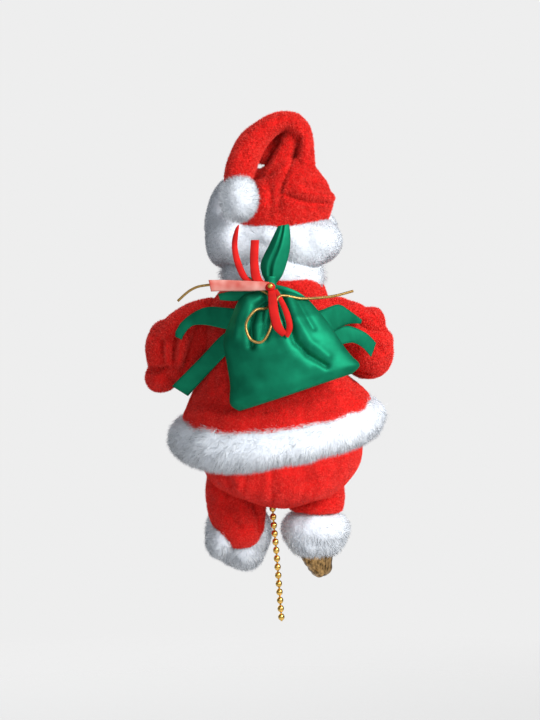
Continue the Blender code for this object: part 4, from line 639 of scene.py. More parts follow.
def chain_routes():
    """The five stretches of the chain, from its hanging end up to the ring."""
    lower = [(0.0, CHAIN_DOWN_Y, HOUSING_BOTTOM - GAP), (0.0, CHAIN_DOWN_Y, 4.0), (-0.8, CHAIN_DOWN_Y, -10.0),
             (-2.6, CHAIN_DOWN_Y, -30.0), (-5.0, CHAIN_DOWN_Y, -62.0)]
    inside = [(0, CHAIN_DOWN_Y, HOUSING_BOTTOM + 0.1), (0, CHAIN_DOWN_Y, 20.0)]
    slant, turn_steps = 1.2, 7
    for i in range(turn_steps + 1):
        angle = slant * i / turn_steps
        inside.append((0, AXLE_Y + WHEEL_RADIUS * cos(angle), AXLE_Z + WHEEL_RADIUS * sin(angle)))
    inside += [(0, -16.0, 47.0), (0, -23.5, 50.0), (0, HOUSING_FRONT + 0.1, CHEST_PORT_Z)]
    hank = hank_route()
    start, end = hank[0], hank[-1]
    top = [(end[0], end[1], end[2] + GAP), (end[0], end[1], HANK_TOP + 6), (0.0, -CHAIN_FRONT, HANK_TOP + 18),
           (0.0, -CHAIN_FRONT, 110.0), (0.0, -CHAIN_FRONT, 140.0), (0.0, -CHAIN_FRONT, CHAIN_TOP_Z - 10),
           (0.0, -CHAIN_FRONT, CHAIN_TOP_Z)]
    middle = [(0, HOUSING_FRONT - GAP, CHEST_PORT_Z), (0, -37.0, CHEST_PORT_Z), (0, -44.0, 55.0),
              (-2.5, -44.3, 64.0), (-8.0, -44.5, 68.0), (-15.0, -48.0, 60.0), (-20.0, -50.0, 42.0),
              (-26.0, -49.0, 24.0), (-33.0, -44.0, 11.0), (-34.5, -42.0, 7.0), (-30.0, -45.0, 4.0),
              (-22.0, -53.0, 18.0), (-17.0, -60.0, 45.0), (-12.0, -60.0, 74.0),
              (start[0] - 1.2, start[1] - 1.2, HANK_TOP + 9.5), (start[0], start[1], HANK_TOP + 4.5),
              (start[0], start[1], HANK_TOP + GAP)]
    return {"chain_lower": lower, "chain_inside": inside, "chain_middle": middle, "chain_hank": hank,
            "chain_top": top}


def circle_across(along, sides):
    """A circle of radius 1 square to a direction."""
    across = unit(np.cross(along, ASKEW))
    angles = turns(sides)
    return np.outer(np.cos(angles), across) + np.outer(np.sin(angles), np.cross(along, across))


def bead_shape(centre, along, segments=12, rings=10):
    """A slightly long bead."""
    circle = circle_across(along, segments)
    rows = []
    for i in range(1, rings):
        polar = pi * i / rings
        height = -BEAD_RADIUS * BEAD_STRETCH * cos(polar)
        rows.append(centre + along * height + BEAD_RADIUS * sin(polar) * circle)
    return rings_shape(rows)


def link_shape(a, b, sides=6):
    """A short straight link between two beads."""
    circle = LINK_RADIUS * circle_across(unit(b - a), sides)
    return rings_shape([a + circle, b + circle])


def build_chain():
    for name, points in chain_routes().items():
        path = smooth_route(points, 1.0)
        along = np.concatenate(([0], np.cumsum(np.linalg.norm(np.diff(path, axis=0), axis=1))))
        count = max(2, round(along[-1] / BEAD_PITCH))
        wanted = (np.arange(count) + 0.5) * along[-1] / count
        centres = np.column_stack([np.interp(wanted, along, column) for column in path.T])
        directions = unit(np.gradient(centres, axis=0))
        shapes = [bead_shape(c, d) for c, d in zip(centres, directions)]
        stops = np.vstack((path[:1], centres, path[-1:]))
        shapes += [link_shape(a, b) for a, b in zip(stops, stops[1:])]
        item = new_mesh(name + "_beads", *joined_shapes(shapes))
        dress(item, name + "_beads", "body", GOLD, "gold_beads", name)


CORD_RADIUS = 0.65


def build_gold_cord():
    """The cord that ties the sack: two stiff ends and a hanging loop."""
    cord = [(46.0, 44.0, 105.5), (39.5, 45.0, 111.0), (32.0, 46.0, 113.3), (15.0, 48.0, 114.0),
            (2.0, 49.5, 109.0), (2.0, 54.5, 103.0), (8.0, 60.0, 102.0), (12.5, 62.0, 95.5),
            (10.5, 63.0, 88.5), (5.0, 63.5, 87.0), (1.0, 62.5, 93.0), (-1.0, 59.0, 102.0),
            (-4.0, 54.0, 108.5), (-15.0, 50.0, 107.0), (-29.0, 48.0, 108.0), (-39.5, 46.0, 110.5)]
    path = smooth_route(cord, 0.8)
    data = bpy.data.curves.new("gold_cord_line", "CURVE")
    data.dimensions = "3D"
    data.bevel_depth = CORD_RADIUS * MM
    data.bevel_resolution = 3
    data.use_fill_caps = True
    spline = data.splines.new("POLY")
    spline.points.add(len(path) - 1)
    for point, place in zip(spline.points, path):
        point.co = (*at(*place), 1)
    item = bpy.data.objects.new("gold_tie_cord", data)
    bpy.context.scene.collection.objects.link(item)
    data.materials.append(GOLD_THREAD)
    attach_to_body(item, "body")
    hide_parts("gold_cord")


# Clothes

def section_rings(sections, rise, power, columns, spacing):
    """Rings over sections (height, centre x, half width, front, back, share of the rise)."""
    dense = smooth_route([(0, 0, s[0], *s) for s in sections], spacing)[:, 3:]
    angles = turns(columns)
    across, deep = squared(np.cos(angles), 2 / power), squared(np.sin(angles), 2 / power)
    rings = []
    for z, centre_x, half_width, front, back, share in dense:
        x = centre_x + half_width * across
        y = (front + back) / 2 + (back - front) / 2 * deep
        rings.append(np.column_stack((x, y, z + share * rise(x, y))))
    return rings


HEM_CURVE = 0.00344
HEM_SLOPE = 0.088
HAT_SLOPE = 0.22


def hem_rise(x, y):
    """The hem hangs lowest left of the middle and rides up on the figure's right side."""
    return HEM_CURVE * x * x - HEM_SLOPE * x


def hat_rise(x, y):
    """The hat sits lower at the figure's back than at its front."""
    return -HAT_SLOPE * y


JACKET_SECTIONS = [(26, -2, 43, -41, 35.5, 0.9), (34, -2.2, 46.5, -43, 36.5, 0.9),
                   (42, -2.5, 47, -43.5, 36.5, 0.9), (55, -2, 42, -41, 34.5, 0.4),
                   (68, -0.5, 35.5, -38, 34.2, 0), (83, 0, 33, -35, 33.8, 0), (97, 0, 32.5, -34.5, 32, 0),
                   (105, 0, 28, -29, 29, 0), (110, -1, 25, -24, 28, 0), (113.5, -1, 22.5, -20, 27, 0),
                   (115, -1, 17, -14, 22, 0)]
TROUSER_SECTIONS = [(-1.0, -4, 4, -14, 14, 0), (0.5, -4, 11, -22, 20, 0), (3.0, -5, 18.5, -28, 26, 0),
                    (6.0, -5, 27, -33, 31, 0), (11, -4, 34, -37, 34, 0), (18, -5, 39.5, -38, 35, 0.3),
                    (27, -5.5, 41, -40, 35.5, 0.9)]
HEM_SECTIONS = [(25.5, -2, 44, -41, 36.5, 1), (26.5, -2.5, 49.5, -45, 40.5, 1), (30, -3, 52.5, -47, 42.5, 1),
                (34, -3, 52.5, -47, 42, 1), (38, -2.5, 49.5, -46, 39.5, 1), (40.6, -2.5, 46, -43, 36.5, 1)]


def grown_pile(name, item, body, density=9.0, length=1.1, keep=None, seed=3):
    """The short red pile of plush."""
    fibres(name, item, body, PLUSH_PILE, density, length, 0.26, comb=combed(0, 0, -0.5), bow=0.25,
           wander=0.32, steps=1, keep=keep, seed=seed, shadow=True)


def build_jacket():
    rings = section_rings(JACKET_SECTIONS, hem_rise, 2.7, 200, 1.4)
    jacket = new_mesh("jacket_back", *rings_shape(rings))
    lumpy(jacket, 0.5, 9.0, 11)
    folded(jacket, [
        (-1.6, 4, [(186, 406), (200, 404), (215, 405), (232, 409)]),
        (1.4, 5, [(188, 414), (205, 413), (225, 417), (240, 420)]),
        (-0.8, 2.5, [(262, 413), (285, 404), (331, 392), (350, 384)]),
        (-2.6, 3.2, [(353, 381), (354, 385)]),
        (1.2, 6, [(340, 350), (352, 360), (360, 370)]),
        (-1.2, 3, [(336, 376), (352, 375), (366, 377)]),
        (0.8, 5, [(300, 290), (322, 300)]),
        (-0.8, 4, [(214, 345), (216, 365), (214, 385)]),
    ])
    dress(jacket, "jacket_cloth", "body", PLUSH, "red_plush", "jacket")
    grown_pile("jacket_pile", jacket, "body", seed=5, keep=lambda p, n: p[:, 2] > 24)


def build_hem():
    left_drop, right_drop = 3.4, 2.6        # how much lower its lower edge hangs at each side
    rings = section_rings(HEM_SECTIONS, hem_rise, 2.25, 220, 1.0)
    for i, ring in enumerate(rings):
        low = 1 - i / (len(rings) - 1)      # 1 at the lower edge, 0 at the upper one
        ring[:, 2] -= left_drop * low * np.clip(ring[:, 0] / 22, 0, 1)
        ring[:, 2] -= right_drop * low * np.clip((-30 - ring[:, 0]) / 18, 0, 1)
    hem = new_mesh("hem", *rings_shape(rings))
    lumpy(hem, 0.7, 8.0, 21)
    dress(hem, "hem_cloth", "body", FUR_CLOTH, "white_fur", "hem_trim")
    fibres("hem_fur", hem, "body", FUR_PILE, 11.0, 5.0, 0.19, comb=combed(0.45, 0, -1), lift=0.8, bow=0.7,
           wander=0.24, tufts=0.4, tuft_size=3.0, steps=3, seed=23)


def build_trousers():
    rings = section_rings(TROUSER_SECTIONS, hem_rise, 2.6, 180, 1.2)
    trousers = new_mesh("seat", *rings_shape(rings))
    lumpy(trousers, 0.4, 8.0, 31)
    folded(trousers, [
        (-1.3, 1.6, [(273, 466), (272.5, 512)]),
        (0.7, 4, [(279, 470), (280, 505)]),
        (0.7, 4, [(266, 470), (266, 503)]),
        (-0.9, 3, [(300, 462), (306, 480), (302, 498)]),
        (0.9, 5, [(314, 462), (320, 482), (318, 495)]),
        (-0.8, 3, [(334, 458), (338, 476)]),
        (-0.8, 3, [(246, 474), (243, 492)]),
        (-1.4, 2.6, [(226, 474), (232, 490), (244, 500)]),
        (0.9, 4, [(236, 476), (241, 492), (252, 500)]),
    ])
    dress(trousers, "trousers_cloth", "body", PLUSH, "red_plush", "trousers")
    grown_pile("trousers_pile", trousers, "body", length=0.8, seed=33, keep=lambda p, n: p[:, 2] < 30)


def mirrored(stations, side):
    """Stations of the left side, or the same ones on the right side where side is -1."""
    return [(side * s[0], *s[1:]) for s in stations]


LEFT_SLEEVE = [(24, 0, 93, 11), (33, 0, 92, 12), (41, 0, 87.5, 13), (48, -1, 80, 13.5), (50.5, -8, 72.5, 13),
               (48.5, -24, 70.5, 12), (42, -39, 75.5, 10.5), (33.5, -47.5, 83, 9), (27.5, -50, 87.5, 8)]
RIGHT_SLEEVE = [(-24, 0, 93.5, 11), (-33, 0, 92.5, 12), (-41.5, 0, 88.5, 12.5), (-48, -1, 82.5, 12),
                (-50.5, -8, 76, 11.5), (-48.5, -24, 73, 11.5), (-42, -39, 76.5, 10.5),
                (-33.5, -47.5, 83.5, 9), (-27.5, -50, 87.5, 8)]
SHOULDER_START = 27.0
SHOULDER_END = 37.0
SHOULDER_HEIGHT = 88.0


def build_sleeves():
    left = blob("left_sleeve_form", [pipe(LEFT_SLEEVE), egg((56.5, -6, 64), (8.5, 10, 8)),
                                     egg((54, -4, 80), (10, 10, 13))], 0.9, 8)
    folded(left, [
        (-3.8, 2.8, [(147, 371), (156, 371), (166, 369)]),
        (-3.6, 2.4, [(161, 341), (163, 362)]),
        (2.2, 4, [(151, 340), (153, 362)]),
        (1.6, 3, [(168, 344), (168, 360)]),
        (-4.0, 2.6, [(176, 338), (173, 360)]),
        (3.2, 4, [(184, 328), (181, 352), (179, 362)]),
        (-4.2, 3.0, [(198, 324), (190, 352), (182, 372)]),
        (2.4, 4, [(213, 332), (196, 356), (181, 376)]),
        (1.4, 5, [(158, 380), (168, 384)]),
    ])
    right = blob("right_sleeve_form", [pipe(RIGHT_SLEEVE), egg((-50, -2, 93), (7.5, 9, 6.5)),
                                       egg((-54, -6, 82), (8, 9, 7))], 0.9, 5)
    folded(right, [
        (-4.2, 3.2, [(358, 321), (372, 328), (390, 331)]),
        (1.6, 4, [(366, 316), (378, 318)]),
        (-1.4, 2.4, [(377, 341), (383, 352)]),
        (-1.5, 3, [(362, 318), (365, 326)]),
        (1.0, 5, [(376, 340), (388, 342)]),
        (-1.2, 3, [(372, 352), (380, 346)]),
    ])
    for (name, side), item in zip(SIDES, (left, right)):
        lumpy(item, 0.45, 6.5, 41)
        bend = ("body", f"{name}_arm", (side * SHOULDER_START, 0, SHOULDER_HEIGHT),
                (side * SHOULDER_END, 0, SHOULDER_HEIGHT))
        dress(item, f"{name}_sleeve_cloth", bend, PLUSH, "red_plush", f"{name}_sleeve")
        grown_pile(f"{name}_sleeve_pile", item, bend, seed=43)
        build_cuff_fur(name, side)


def build_cuff_fur(name, side):
    """White fur round the wrist."""
    wrist = mirrored([(31.5, -48.5, 84.5, 9.3), (28, -50, 87.3, 9.6), (25.5, -50.6, 89.6, 8.6)], side)
    roll = blob(f"{name}_wrist", [pipe(wrist, 1.0)], 0.8, 3)
    dress(roll, f"{name}_wrist_fur_roll", f"{name}_arm", FUR_CLOTH, "white_fur")
    fibres(f"{name}_wrist_fur", roll, f"{name}_arm", FUR_PILE, 8.0, 3.6, 0.18, bow=0.3, wander=0.5, tufts=0.3,
           seed=47)


def build_hands():
    mitten = surface("mitten_felt", (0.028, 0.028, 0.032), 0.9, size=1.5, variation=0.35, bump=0.9,
                     bump_size=0.5, sheen=0.3)
    for name, side in SIDES:
        palm = mirrored([(24.5, -50.4, 90, 6.0), (18, -51.2, 95.4, 7.6), (12, -51.2, 100, 6.6),
                         (8.4, -51.2, 103, 4.2)], side)
        thumb = mirrored([(17, -54, 96, 3.4), (12.5, -57.5, 97, 3.2), (8.5, -57.5, 97.5, 2.6)], side)
        hand = blob(f"{name}_hand_form", [pipe(palm, 1.2), pipe(thumb, 1.0)], 0.6, 4)
        dress(hand, f"{name}_mitten", f"{name}_arm", mitten, "mitten", f"{name}_hand")


# Legs

HIP = (20.0, -8.0)
LEG_BEND_START = 14.0
LEG_BEND_END = 3.0
LEG_FORMS = {
    "left": {
        "leg": [pipe([(18.5, -4, 14, 14.5, 13), (18.5, -4.5, 5, 15.5, 13), (17.8, -5, -5, 14.8, 12.5),
                      (16.8, -5, -12, 13.0, 11.5)], rounded=True)],
        "cuff": [egg((17, -18, -18), (15.8, 15, 16.5), 0.3), egg((14, -17, -27), (9.5, 12, 9.5), 0.2),
                 egg((26, -8, -20.5), (6.0, 12, 8.5), 0.3)],
        "boot": [(18.5, -20, -22, 8.5), (17.5, -29, -27, 9), (17, -35, -29, 7.8)],
        "folds": [(-1.4, 3.5, [(226, 496), (229, 512), (240, 526)]), (1.3, 5, [(214, 488), (218, 504)]),
                  (-4.6, 4.0, [(253, 500), (261, 518), (263, 540)]), (1.2, 5, [(240, 500), (243, 516)]),
                  (-1.0, 3, [(210, 502), (222, 505)])],
        "lean": 0.5,
    },
    "right": {
        "leg": [pipe([(-23, -8, 10, 13.5, 12), (-23, -10, 2, 14.2, 13), (-22.8, -10, -6, 13.5, 12.5)])],
        "cuff": [egg((-22.2, -10, -15.5), (16.6, 15, 11.5)), egg((-22.2, -10, -20), (14, 13, 9))],
        "boot": [(-22.2, -10.5, -18, 9.0), (-23.4, -12, -28.5, 8.8), (-25.0, -13, -35, 6.6)],
        "folds": [(-1.0, 3, [(300, 505), (318, 500), (335, 498)]), (0.9, 4, [(300, 511), (330, 508)])],
        "lean": -0.35,
    },
}


def build_legs():
    toe = surface("crinkled_bronze", (0.30, 0.18, 0.07), 0.25, 0.9, size=1.4, variation=0.95, bump=1.0,
                  bump_size=1.3, stretch=(1, 1, 0.22))
    for name, side in SIDES:
        form = LEG_FORMS[name]
        foot = f"{name}_foot"
        bend = ("body", foot, (side * HIP[0], HIP[1], LEG_BEND_START), (side * HIP[0], HIP[1], LEG_BEND_END))
        leg = blob(f"{name}_leg_form", form["leg"], 0.8, 6)
        folded(leg, form["folds"])
        lumpy(leg, 0.35, 6.0, 51)
        dress(leg, f"{name}_leg_cloth", bend, PLUSH, "red_plush", f"{name}_leg")
        grown_pile(f"{name}_leg_pile", leg, bend, seed=53)
        cuff = blob(f"{name}_cuff_form", form["cuff"], 0.8, 5)
        lumpy(cuff, 0.6, 6.0, 55)
        dress(cuff, f"{name}_cuff_cloth", foot, FUR_CLOTH, "white_fur", f"{name}_boot_cuff")
        fibres(f"{name}_cuff_fur", cuff, foot, FUR_PILE, 10.0, 3.4, 0.17, comb=combed(form["lean"], 0, -1),
               lift=0.9, bow=0.6, wander=0.3, tufts=0.5, tuft_size=3.0, steps=3, seed=57,
               keep=lambda p, n: n[:, 2] < 0.8)
        boot = blob(f"{name}_boot_form", [pipe(form["boot"], rounded=True)], 0.6, 3)
        lumpy(boot, 0.35, 2.2, 59)
        dress(boot, f"{name}_boot_shell", foot, toe, "boot", f"{name}_boot")


# Head

HEAD_CENTRE = (0.0, -6.0, 129.8)


def build_head():
    skin = surface("painted_face", (0.80, 0.53, 0.41), 0.45, size=7.0, variation=0.05, bump=0.1,
                   bump_size=0.8)
    x, y, z = HEAD_CENTRE
    cheeks = [egg((side * 9.5, y - 13.5, z - 6.5), (7.5, 6.5, 6.0)) for name, side in SIDES]
    nose = egg((0, y - 20.8, z - 3.4), (3.2, 3.6, 3.1))
    chin = egg((0, y - 14, z - 13), (8, 6, 5))
    head = blob("head_form", [egg((x, y, z), (22.6, 21.6, 22.4)), *cheeks, nose, chin], 0.8, 3)
    dress(head, "face", "body", skin, "face", "head")
    eye_black = surface("eye_gloss", (0.012, 0.010, 0.010), 0.08, variation=0.1, bump=0.0, coat=1.0)
    lip = surface("painted_lip", (0.55, 0.09, 0.08), 0.4, size=2.0, variation=0.1, bump=0.1)
    for name, side in SIDES:
        eye = new_mesh(f"{name}_eye_form", *egg((side * 7.6, y - 20.0, z + 1.2), (1.9, 1.5, 2.2)))
        dress(eye, f"{name}_eye", "body", eye_black, "black_plastic")
        line = mirrored([(4.6, y - 20.8, z + 5.2, 0.9), (7.8, y - 20.2, z + 6.4, 1.2),
                         (11.2, y - 18.2, z + 5.4, 0.8)], side)
        brow = blob(f"{name}_brow_form", [pipe(line, 0.8)], 0.5, 2)
        dress(brow, f"{name}_brow", "body", FUR_CLOTH, "white_fur")
        fibres(f"{name}_brow_fur", brow, "body", FUR_PILE, 14.0, 2.2, 0.14, comb=combed(side, -0.2, 0.1),
               lift=0.6, wander=0.3, seed=61)
    mouth = new_mesh("mouth_form", *pipe([(-3.2, y - 20.6, z - 10.2, 0.7), (0, y - 21.6, z - 11.2, 1.0),
                                          (3.2, y - 20.6, z - 10.2, 0.7)], 0.6))
    dress(mouth, "mouth", "body", lip, "face")


def beard_flow(points):
    """The beard is combed down, and outwards towards its sides."""
    return np.column_stack((0.03 * points[:, 0], np.zeros(len(points)), np.full(len(points), -1.0)))


def build_beard():
    x, y, z = HEAD_CENTRE
    sides = [egg((side * 15.5, -18, 117), (7, 9, 11)) for name, side in SIDES]
    middle = [egg((0, -27, 110), (19.5, 7.5, 12)), egg((0, -33, 100), (13, 5.5, 11))]
    beard = blob("beard_form", middle + sides, 0.8, 5)
    lumpy(beard, 0.9, 6.0, 71)
    dress(beard, "beard_form", "body", FUR_CLOTH, "white_fur", "beard")
    fibres("beard_fur", beard, "body", FUR_PILE, 8.0, 7.0, 0.2, comb=beard_flow, lift=0.7, bow=0.7,
           wander=0.22, tufts=0.6, tuft_size=3.5, steps=3, seed=73, keep=lambda p, n: n[:, 1] < 0.35)
    for name, side in SIDES:
        line = mirrored([(1.0, y - 22.4, z - 7.2, 2.0), (6.0, y - 22.2, z - 8.4, 2.7),
                         (11.5, y - 19.5, z - 9.6, 2.0), (15.5, y - 16.0, z - 8.4, 0.9)], side)
        whisker = blob(f"{name}_moustache_form", [pipe(line, 0.8)], 0.5, 2)
        dress(whisker, f"{name}_moustache", "body", FUR_CLOTH, "white_fur")
        fibres(f"{name}_moustache_fur", whisker, "body", FUR_PILE, 12.0, 3.6, 0.16,
               comb=combed(side * 1.2, 0, -0.5), lift=0.6, bow=0.6, wander=0.22, tufts=0.3, seed=75)


def build_hair():
    """The fleece on the back of the head and neck."""
    neck = blob("neck_form", [egg((-0.5, 8, 117), (23.5, 17.5, 13)), egg((-16, 6, 115), (9.5, 13, 12)),
                              egg((15, 6, 116), (9, 13, 12)), egg((17, -2, 121), (8, 10, 9)),
                              egg((-17, -2, 121), (8, 10, 9))], 0.9, 6)
    dress(neck, "neck_fleece", "body", FUR_CLOTH, "white_fur", "hair")
    grown_fleece("neck_fleece_pile", neck, 81, keep=lambda p, n: p[:, 2] > 104)


def grown_fleece(name, item, seed, keep=None):
    """Short white fleece."""
    fibres(name, item, "body", FLEECE_PILE, 12.0, 1.5, 0.17, comb=combed(0, 0, -0.35), bow=0.4, wander=0.5,
           tufts=0.2, tuft_size=2.6, keep=keep, seed=seed)


def build_band():
    """The white band of the hat, full and soft, riding high on the figure's left."""
    band = blob("band_form", [
        egg((0.0, -2, 136), (31.5, 28.5, 10.5)),
        egg((22, 4, 135), (11, 20, 14.5), 0.1), egg((25.5, -4, 149), (6.8, 15, 16), 0.28),
        egg((24, -14, 143), (8, 14, 12)),
        egg((-21.5, 4, 133.4), (13.5, 20, 11.4), -0.08), egg((-27, -9, 136), (6.5, 14, 11)),
        egg((8, 13, 131), (20, 12, 12)), egg((-12, 13, 132), (18, 12, 12.5)),
        egg((0, -24, 146), (25, 8, 8.5)),
    ], 1.0, 8)
    lumpy(band, 0.6, 8.0, 85)
    dress(band, "band_fleece", "body", FUR_CLOTH, "white_fur", "hat_band")
    grown_fleece("band_fleece_pile", band, 87)


HAT_SECTIONS = [(143, -1, 26.5, -25, 22, 0.5), (149, -1.5, 28, -25, 23, 0.5), (155, -4, 27, -24, 23.5, 0.5),
                (160, -6, 22.5, -22, 23, 0.5), (166, -8, 17, -18, 21, 0.5), (172, -9, 11, -13, 17.5, 0.5),
                (176, -10, 6.5, -8, 13, 0.5)]


def build_hat():
    """A soft crown whose long tip folds over in an arch and falls to the pom-pom."""
    arch = [(301, 196, 10, 6.5, 9), (304, 182, 7, 5.5, 9), (305.5, 165, 5, 4.4, 9), (305.3, 150, 5, 3.8, 9),
            (303, 135, 5, 4.2, 9), (295, 124, 6, 4.6, 9), (283.5, 120.6, 7, 4.3, 9), (268, 127, 10, 5.0, 9),
            (253.5, 141, 14, 6.2, 8.5), (245, 156, 20, 6.8, 8.5), (238.5, 174, 26, 6.6, 8),
            (237, 190, 29, 5.0, 6)]
    stations = [(*seen(px, py, y), half_width, half_depth) for px, py, y, half_width, half_depth in arch]
    webs = [egg(seen(289, 148, -4), (9, 6, 18), 0.15), egg(seen(281, 158, -4), (6.0, 6, 14), 0.35),
            egg(seen(271, 146, -3), (6.5, 5, 6.5), 0.4), egg(seen(262, 154, -1), (5, 5, 4.6), 0.4),
            egg(seen(256, 178, 1), (5, 6, 4.2), -0.3)]
    ridge = pipe([(*seen(px, py, y), r) for px, py, y, r in
                  ((290, 128, 5, 3.0), (291, 138, 6, 4.2), (287, 150, 6.5, 4.6), (281, 162, 8, 4.6),
                   (274, 174, 10, 4.6), (268, 188, 13, 5.0))], 1.2)
    crown = [rings_shape(section_rings(HAT_SECTIONS, hat_rise, 2.0, 48, 1.6)),
             egg((-22.5, 4, 154), (8, 13, 7)), egg((-19, 4, 162), (7, 11, 6))]
    hat = blob("hat_form", [pipe(stations, 1.6), ridge] + webs + crown, 0.75, 6)
    folded(hat, [
        (-2.4, 2.6, [(299, 138), (297, 150), (292, 162), (286, 176), (281, 190)]),
        (-1.8, 2.6, [(283, 134), (275, 150), (268, 164)]),
        (-2.2, 2.4, [(252, 180), (262, 177), (272, 173)]),
        (-1.6, 3.0, [(282, 180), (281, 196), (279, 212)]),
        (-2.6, 2.6, [(288, 194), (298, 198.5), (312, 202), (333, 203)]),
        (1.8, 3.2, [(300, 190), (314, 194.5), (332, 198)]),
        (-1.8, 2.4, [(304, 181), (314, 186), (330, 191)]),
        (1.2, 3.6, [(310, 176), (320, 181), (328, 185)]),
        (1.4, 4.0, [(303, 160), (302, 176), (296, 188)]),
        (-1.0, 3.0, [(306, 209), (318, 208), (331, 210)]),
        (1.2, 5.0, [(262, 186), (264, 204)]),
        (-1.2, 3.0, [(270, 184), (272, 200), (271, 214)]),
        (-0.8, 3.0, [(246, 148), (240, 166)]),
    ])
    lumpy(hat, 0.35, 6.0, 91)
    dress(hat, "hat_cloth", "body", PLUSH, "red_plush", "hat")
    grown_pile("hat_pile", hat, "body", density=12.0, length=1.35, seed=93)


def build_pom_pom():
    centre = seen(239, 198.5, 32)
    core = new_mesh("pom_pom_form", *egg(centre, (7.4, 7.2, 9.8)))
    dress(core, "pom_pom_core", "body", FUR_CLOTH, "white_fur", "pom_pom")
    fibres("pom_pom_fibres", core, "body", FLEECE_PILE, 34.0, 3.4, 0.2, bow=0.15, wander=0.5, seed=95)


# Sack and trim

def between(line, count):
    """Evenly spaced points on a smooth line through picture positions."""
    route = smooth_route([(*p, 0.0)[:3] for p in line], 0.5)
    return route[np.linspace(0, len(route) - 1, count).round().astype(int)]


SACK_BACK = [(0.0, 43.5), (0.08, 45.0), (0.21, 51.0), (0.43, 59.0), (0.66, 61.5), (0.90, 59.0), (0.98, 56.0),
             (1.0, 50.0)]
SACK_FRONT = [(0.0, 36.0), (0.08, 35.0), (0.21, 33.6), (1.0, 33.6)]
SACK_CORNERS = 0.85         # the power that fills the sack's section out at its corners
SACK_TILT = 7.0             # how far its left edge lies forward at the bottom
SACK_TILT_POWER = 1.6       # over 1, the tilt keeps to that edge
SACK_RINGS = 100


def build_sack():
    """The stuffed sack, gathered at its neck, between the two edges that the picture shows."""
    left = between([(268, 286), (252, 291), (240, 298), (231, 318), (223.5, 340), (227, 365), (230, 385),
                    (230, 404), (240, 411.5)], SACK_RINGS)
    right = between([(273, 286), (288, 290), (305, 297), (318, 310), (332, 328), (344, 346), (352, 356),
                     (360, 365), (352, 374)], SACK_RINGS)
    angles = turns(180)
    along, across = squared(np.cos(angles), SACK_CORNERS), squared(np.sin(angles), SACK_CORNERS)
    rings = []
    for t, a, b in zip(np.linspace(0, 1, SACK_RINGS), left, right):
        back = np.interp(t, *zip(*SACK_BACK))
        front = np.interp(t, *zip(*SACK_FRONT))
        depths = ((back + front) / 2 + (back - front) / 2 * across
                  - SACK_TILT * t * np.clip(along, 0, 1) ** SACK_TILT_POWER)
        xs = (a[0] + b[0]) / 2 + (a[0] - b[0]) / 2 * along
        ys = (a[1] + b[1]) / 2 + (a[1] - b[1]) / 2 * along
        rings.append([seen(px, py, depth) for px, py, depth in zip(xs, ys, depths)])
    sack = new_mesh("sack_form", *rings_shape(rings[::-1]))
    soften = sack.modifiers.new("soften", "SMOOTH")
    soften.iterations = 5
    applied(sack)
    folded(sack, [
        (-3.6, 3.0, [(267, 296), (255, 306), (249, 326), (251, 346)]),
        (1.2, 4.0, [(248, 299), (239, 318), (236, 338)]),
        (1.0, 3.6, [(262, 306), (257, 328), (258, 346)]),
        (-1.6, 3.0, [(271, 298), (267, 320), (265, 338)]),
        (0.9, 5.0, [(275, 302), (279, 330), (291, 354), (308, 368)]),
        (-2.8, 2.8, [(281, 294), (286, 315), (295, 341), (308, 355), (327, 366)]),
        (1.5, 5.0, [(289, 298), (297, 320), (309, 341), (327, 356)]),
        (-1.1, 3.0, [(297, 298), (306, 314), (314, 328)]),
        (1.0, 9.0, [(246, 385), (262, 396), (290, 388)]),
    ])
    dress(sack, "sack_satin", "body", GREEN_SATIN, "green_satin", "sack")


RIBBON_THICKNESS = 0.35
RIBBON_BOW = 0.5            # how far a ribbon bulges between its edges
GREEN_CLOTH = (GREEN_SATIN, "green_satin")
RED_CLOTH = (RED_SATIN, "red_satin")
# the paler red satin: painted sheen and painted highlight on the same ribbon
RED_CLOTH_PAINTED_SHEEN = (RED_SATIN_PAINTED_SHEEN, "red_satin")


def ribbon(name, left, right, depths, cloth):
    """A ribbon between two edges drawn in the picture, at a depth for each pair of points."""
    rows, columns = 48, 9
    left_edge = between([(*p, d) for p, d in zip(left, depths)], rows)
    right_edge = between([(*p, d) for p, d in zip(right, depths)], rows)
    points = []
    for a, b in zip(left_edge, right_edge):
        for u in np.linspace(0, 1, columns):
            px, py, depth = a + (b - a) * u
            points.append(seen(px, py, depth + RIBBON_BOW * sin(pi * u)))
    item = new_mesh(name, points, grid_faces(rows, columns, False))
    wall = item.modifiers.new("cloth", "SOLIDIFY")
    wall.thickness = RIBBON_THICKNESS * MM
    wall.offset = 0
    applied(item)
    return dress(item, name, "body", *cloth)


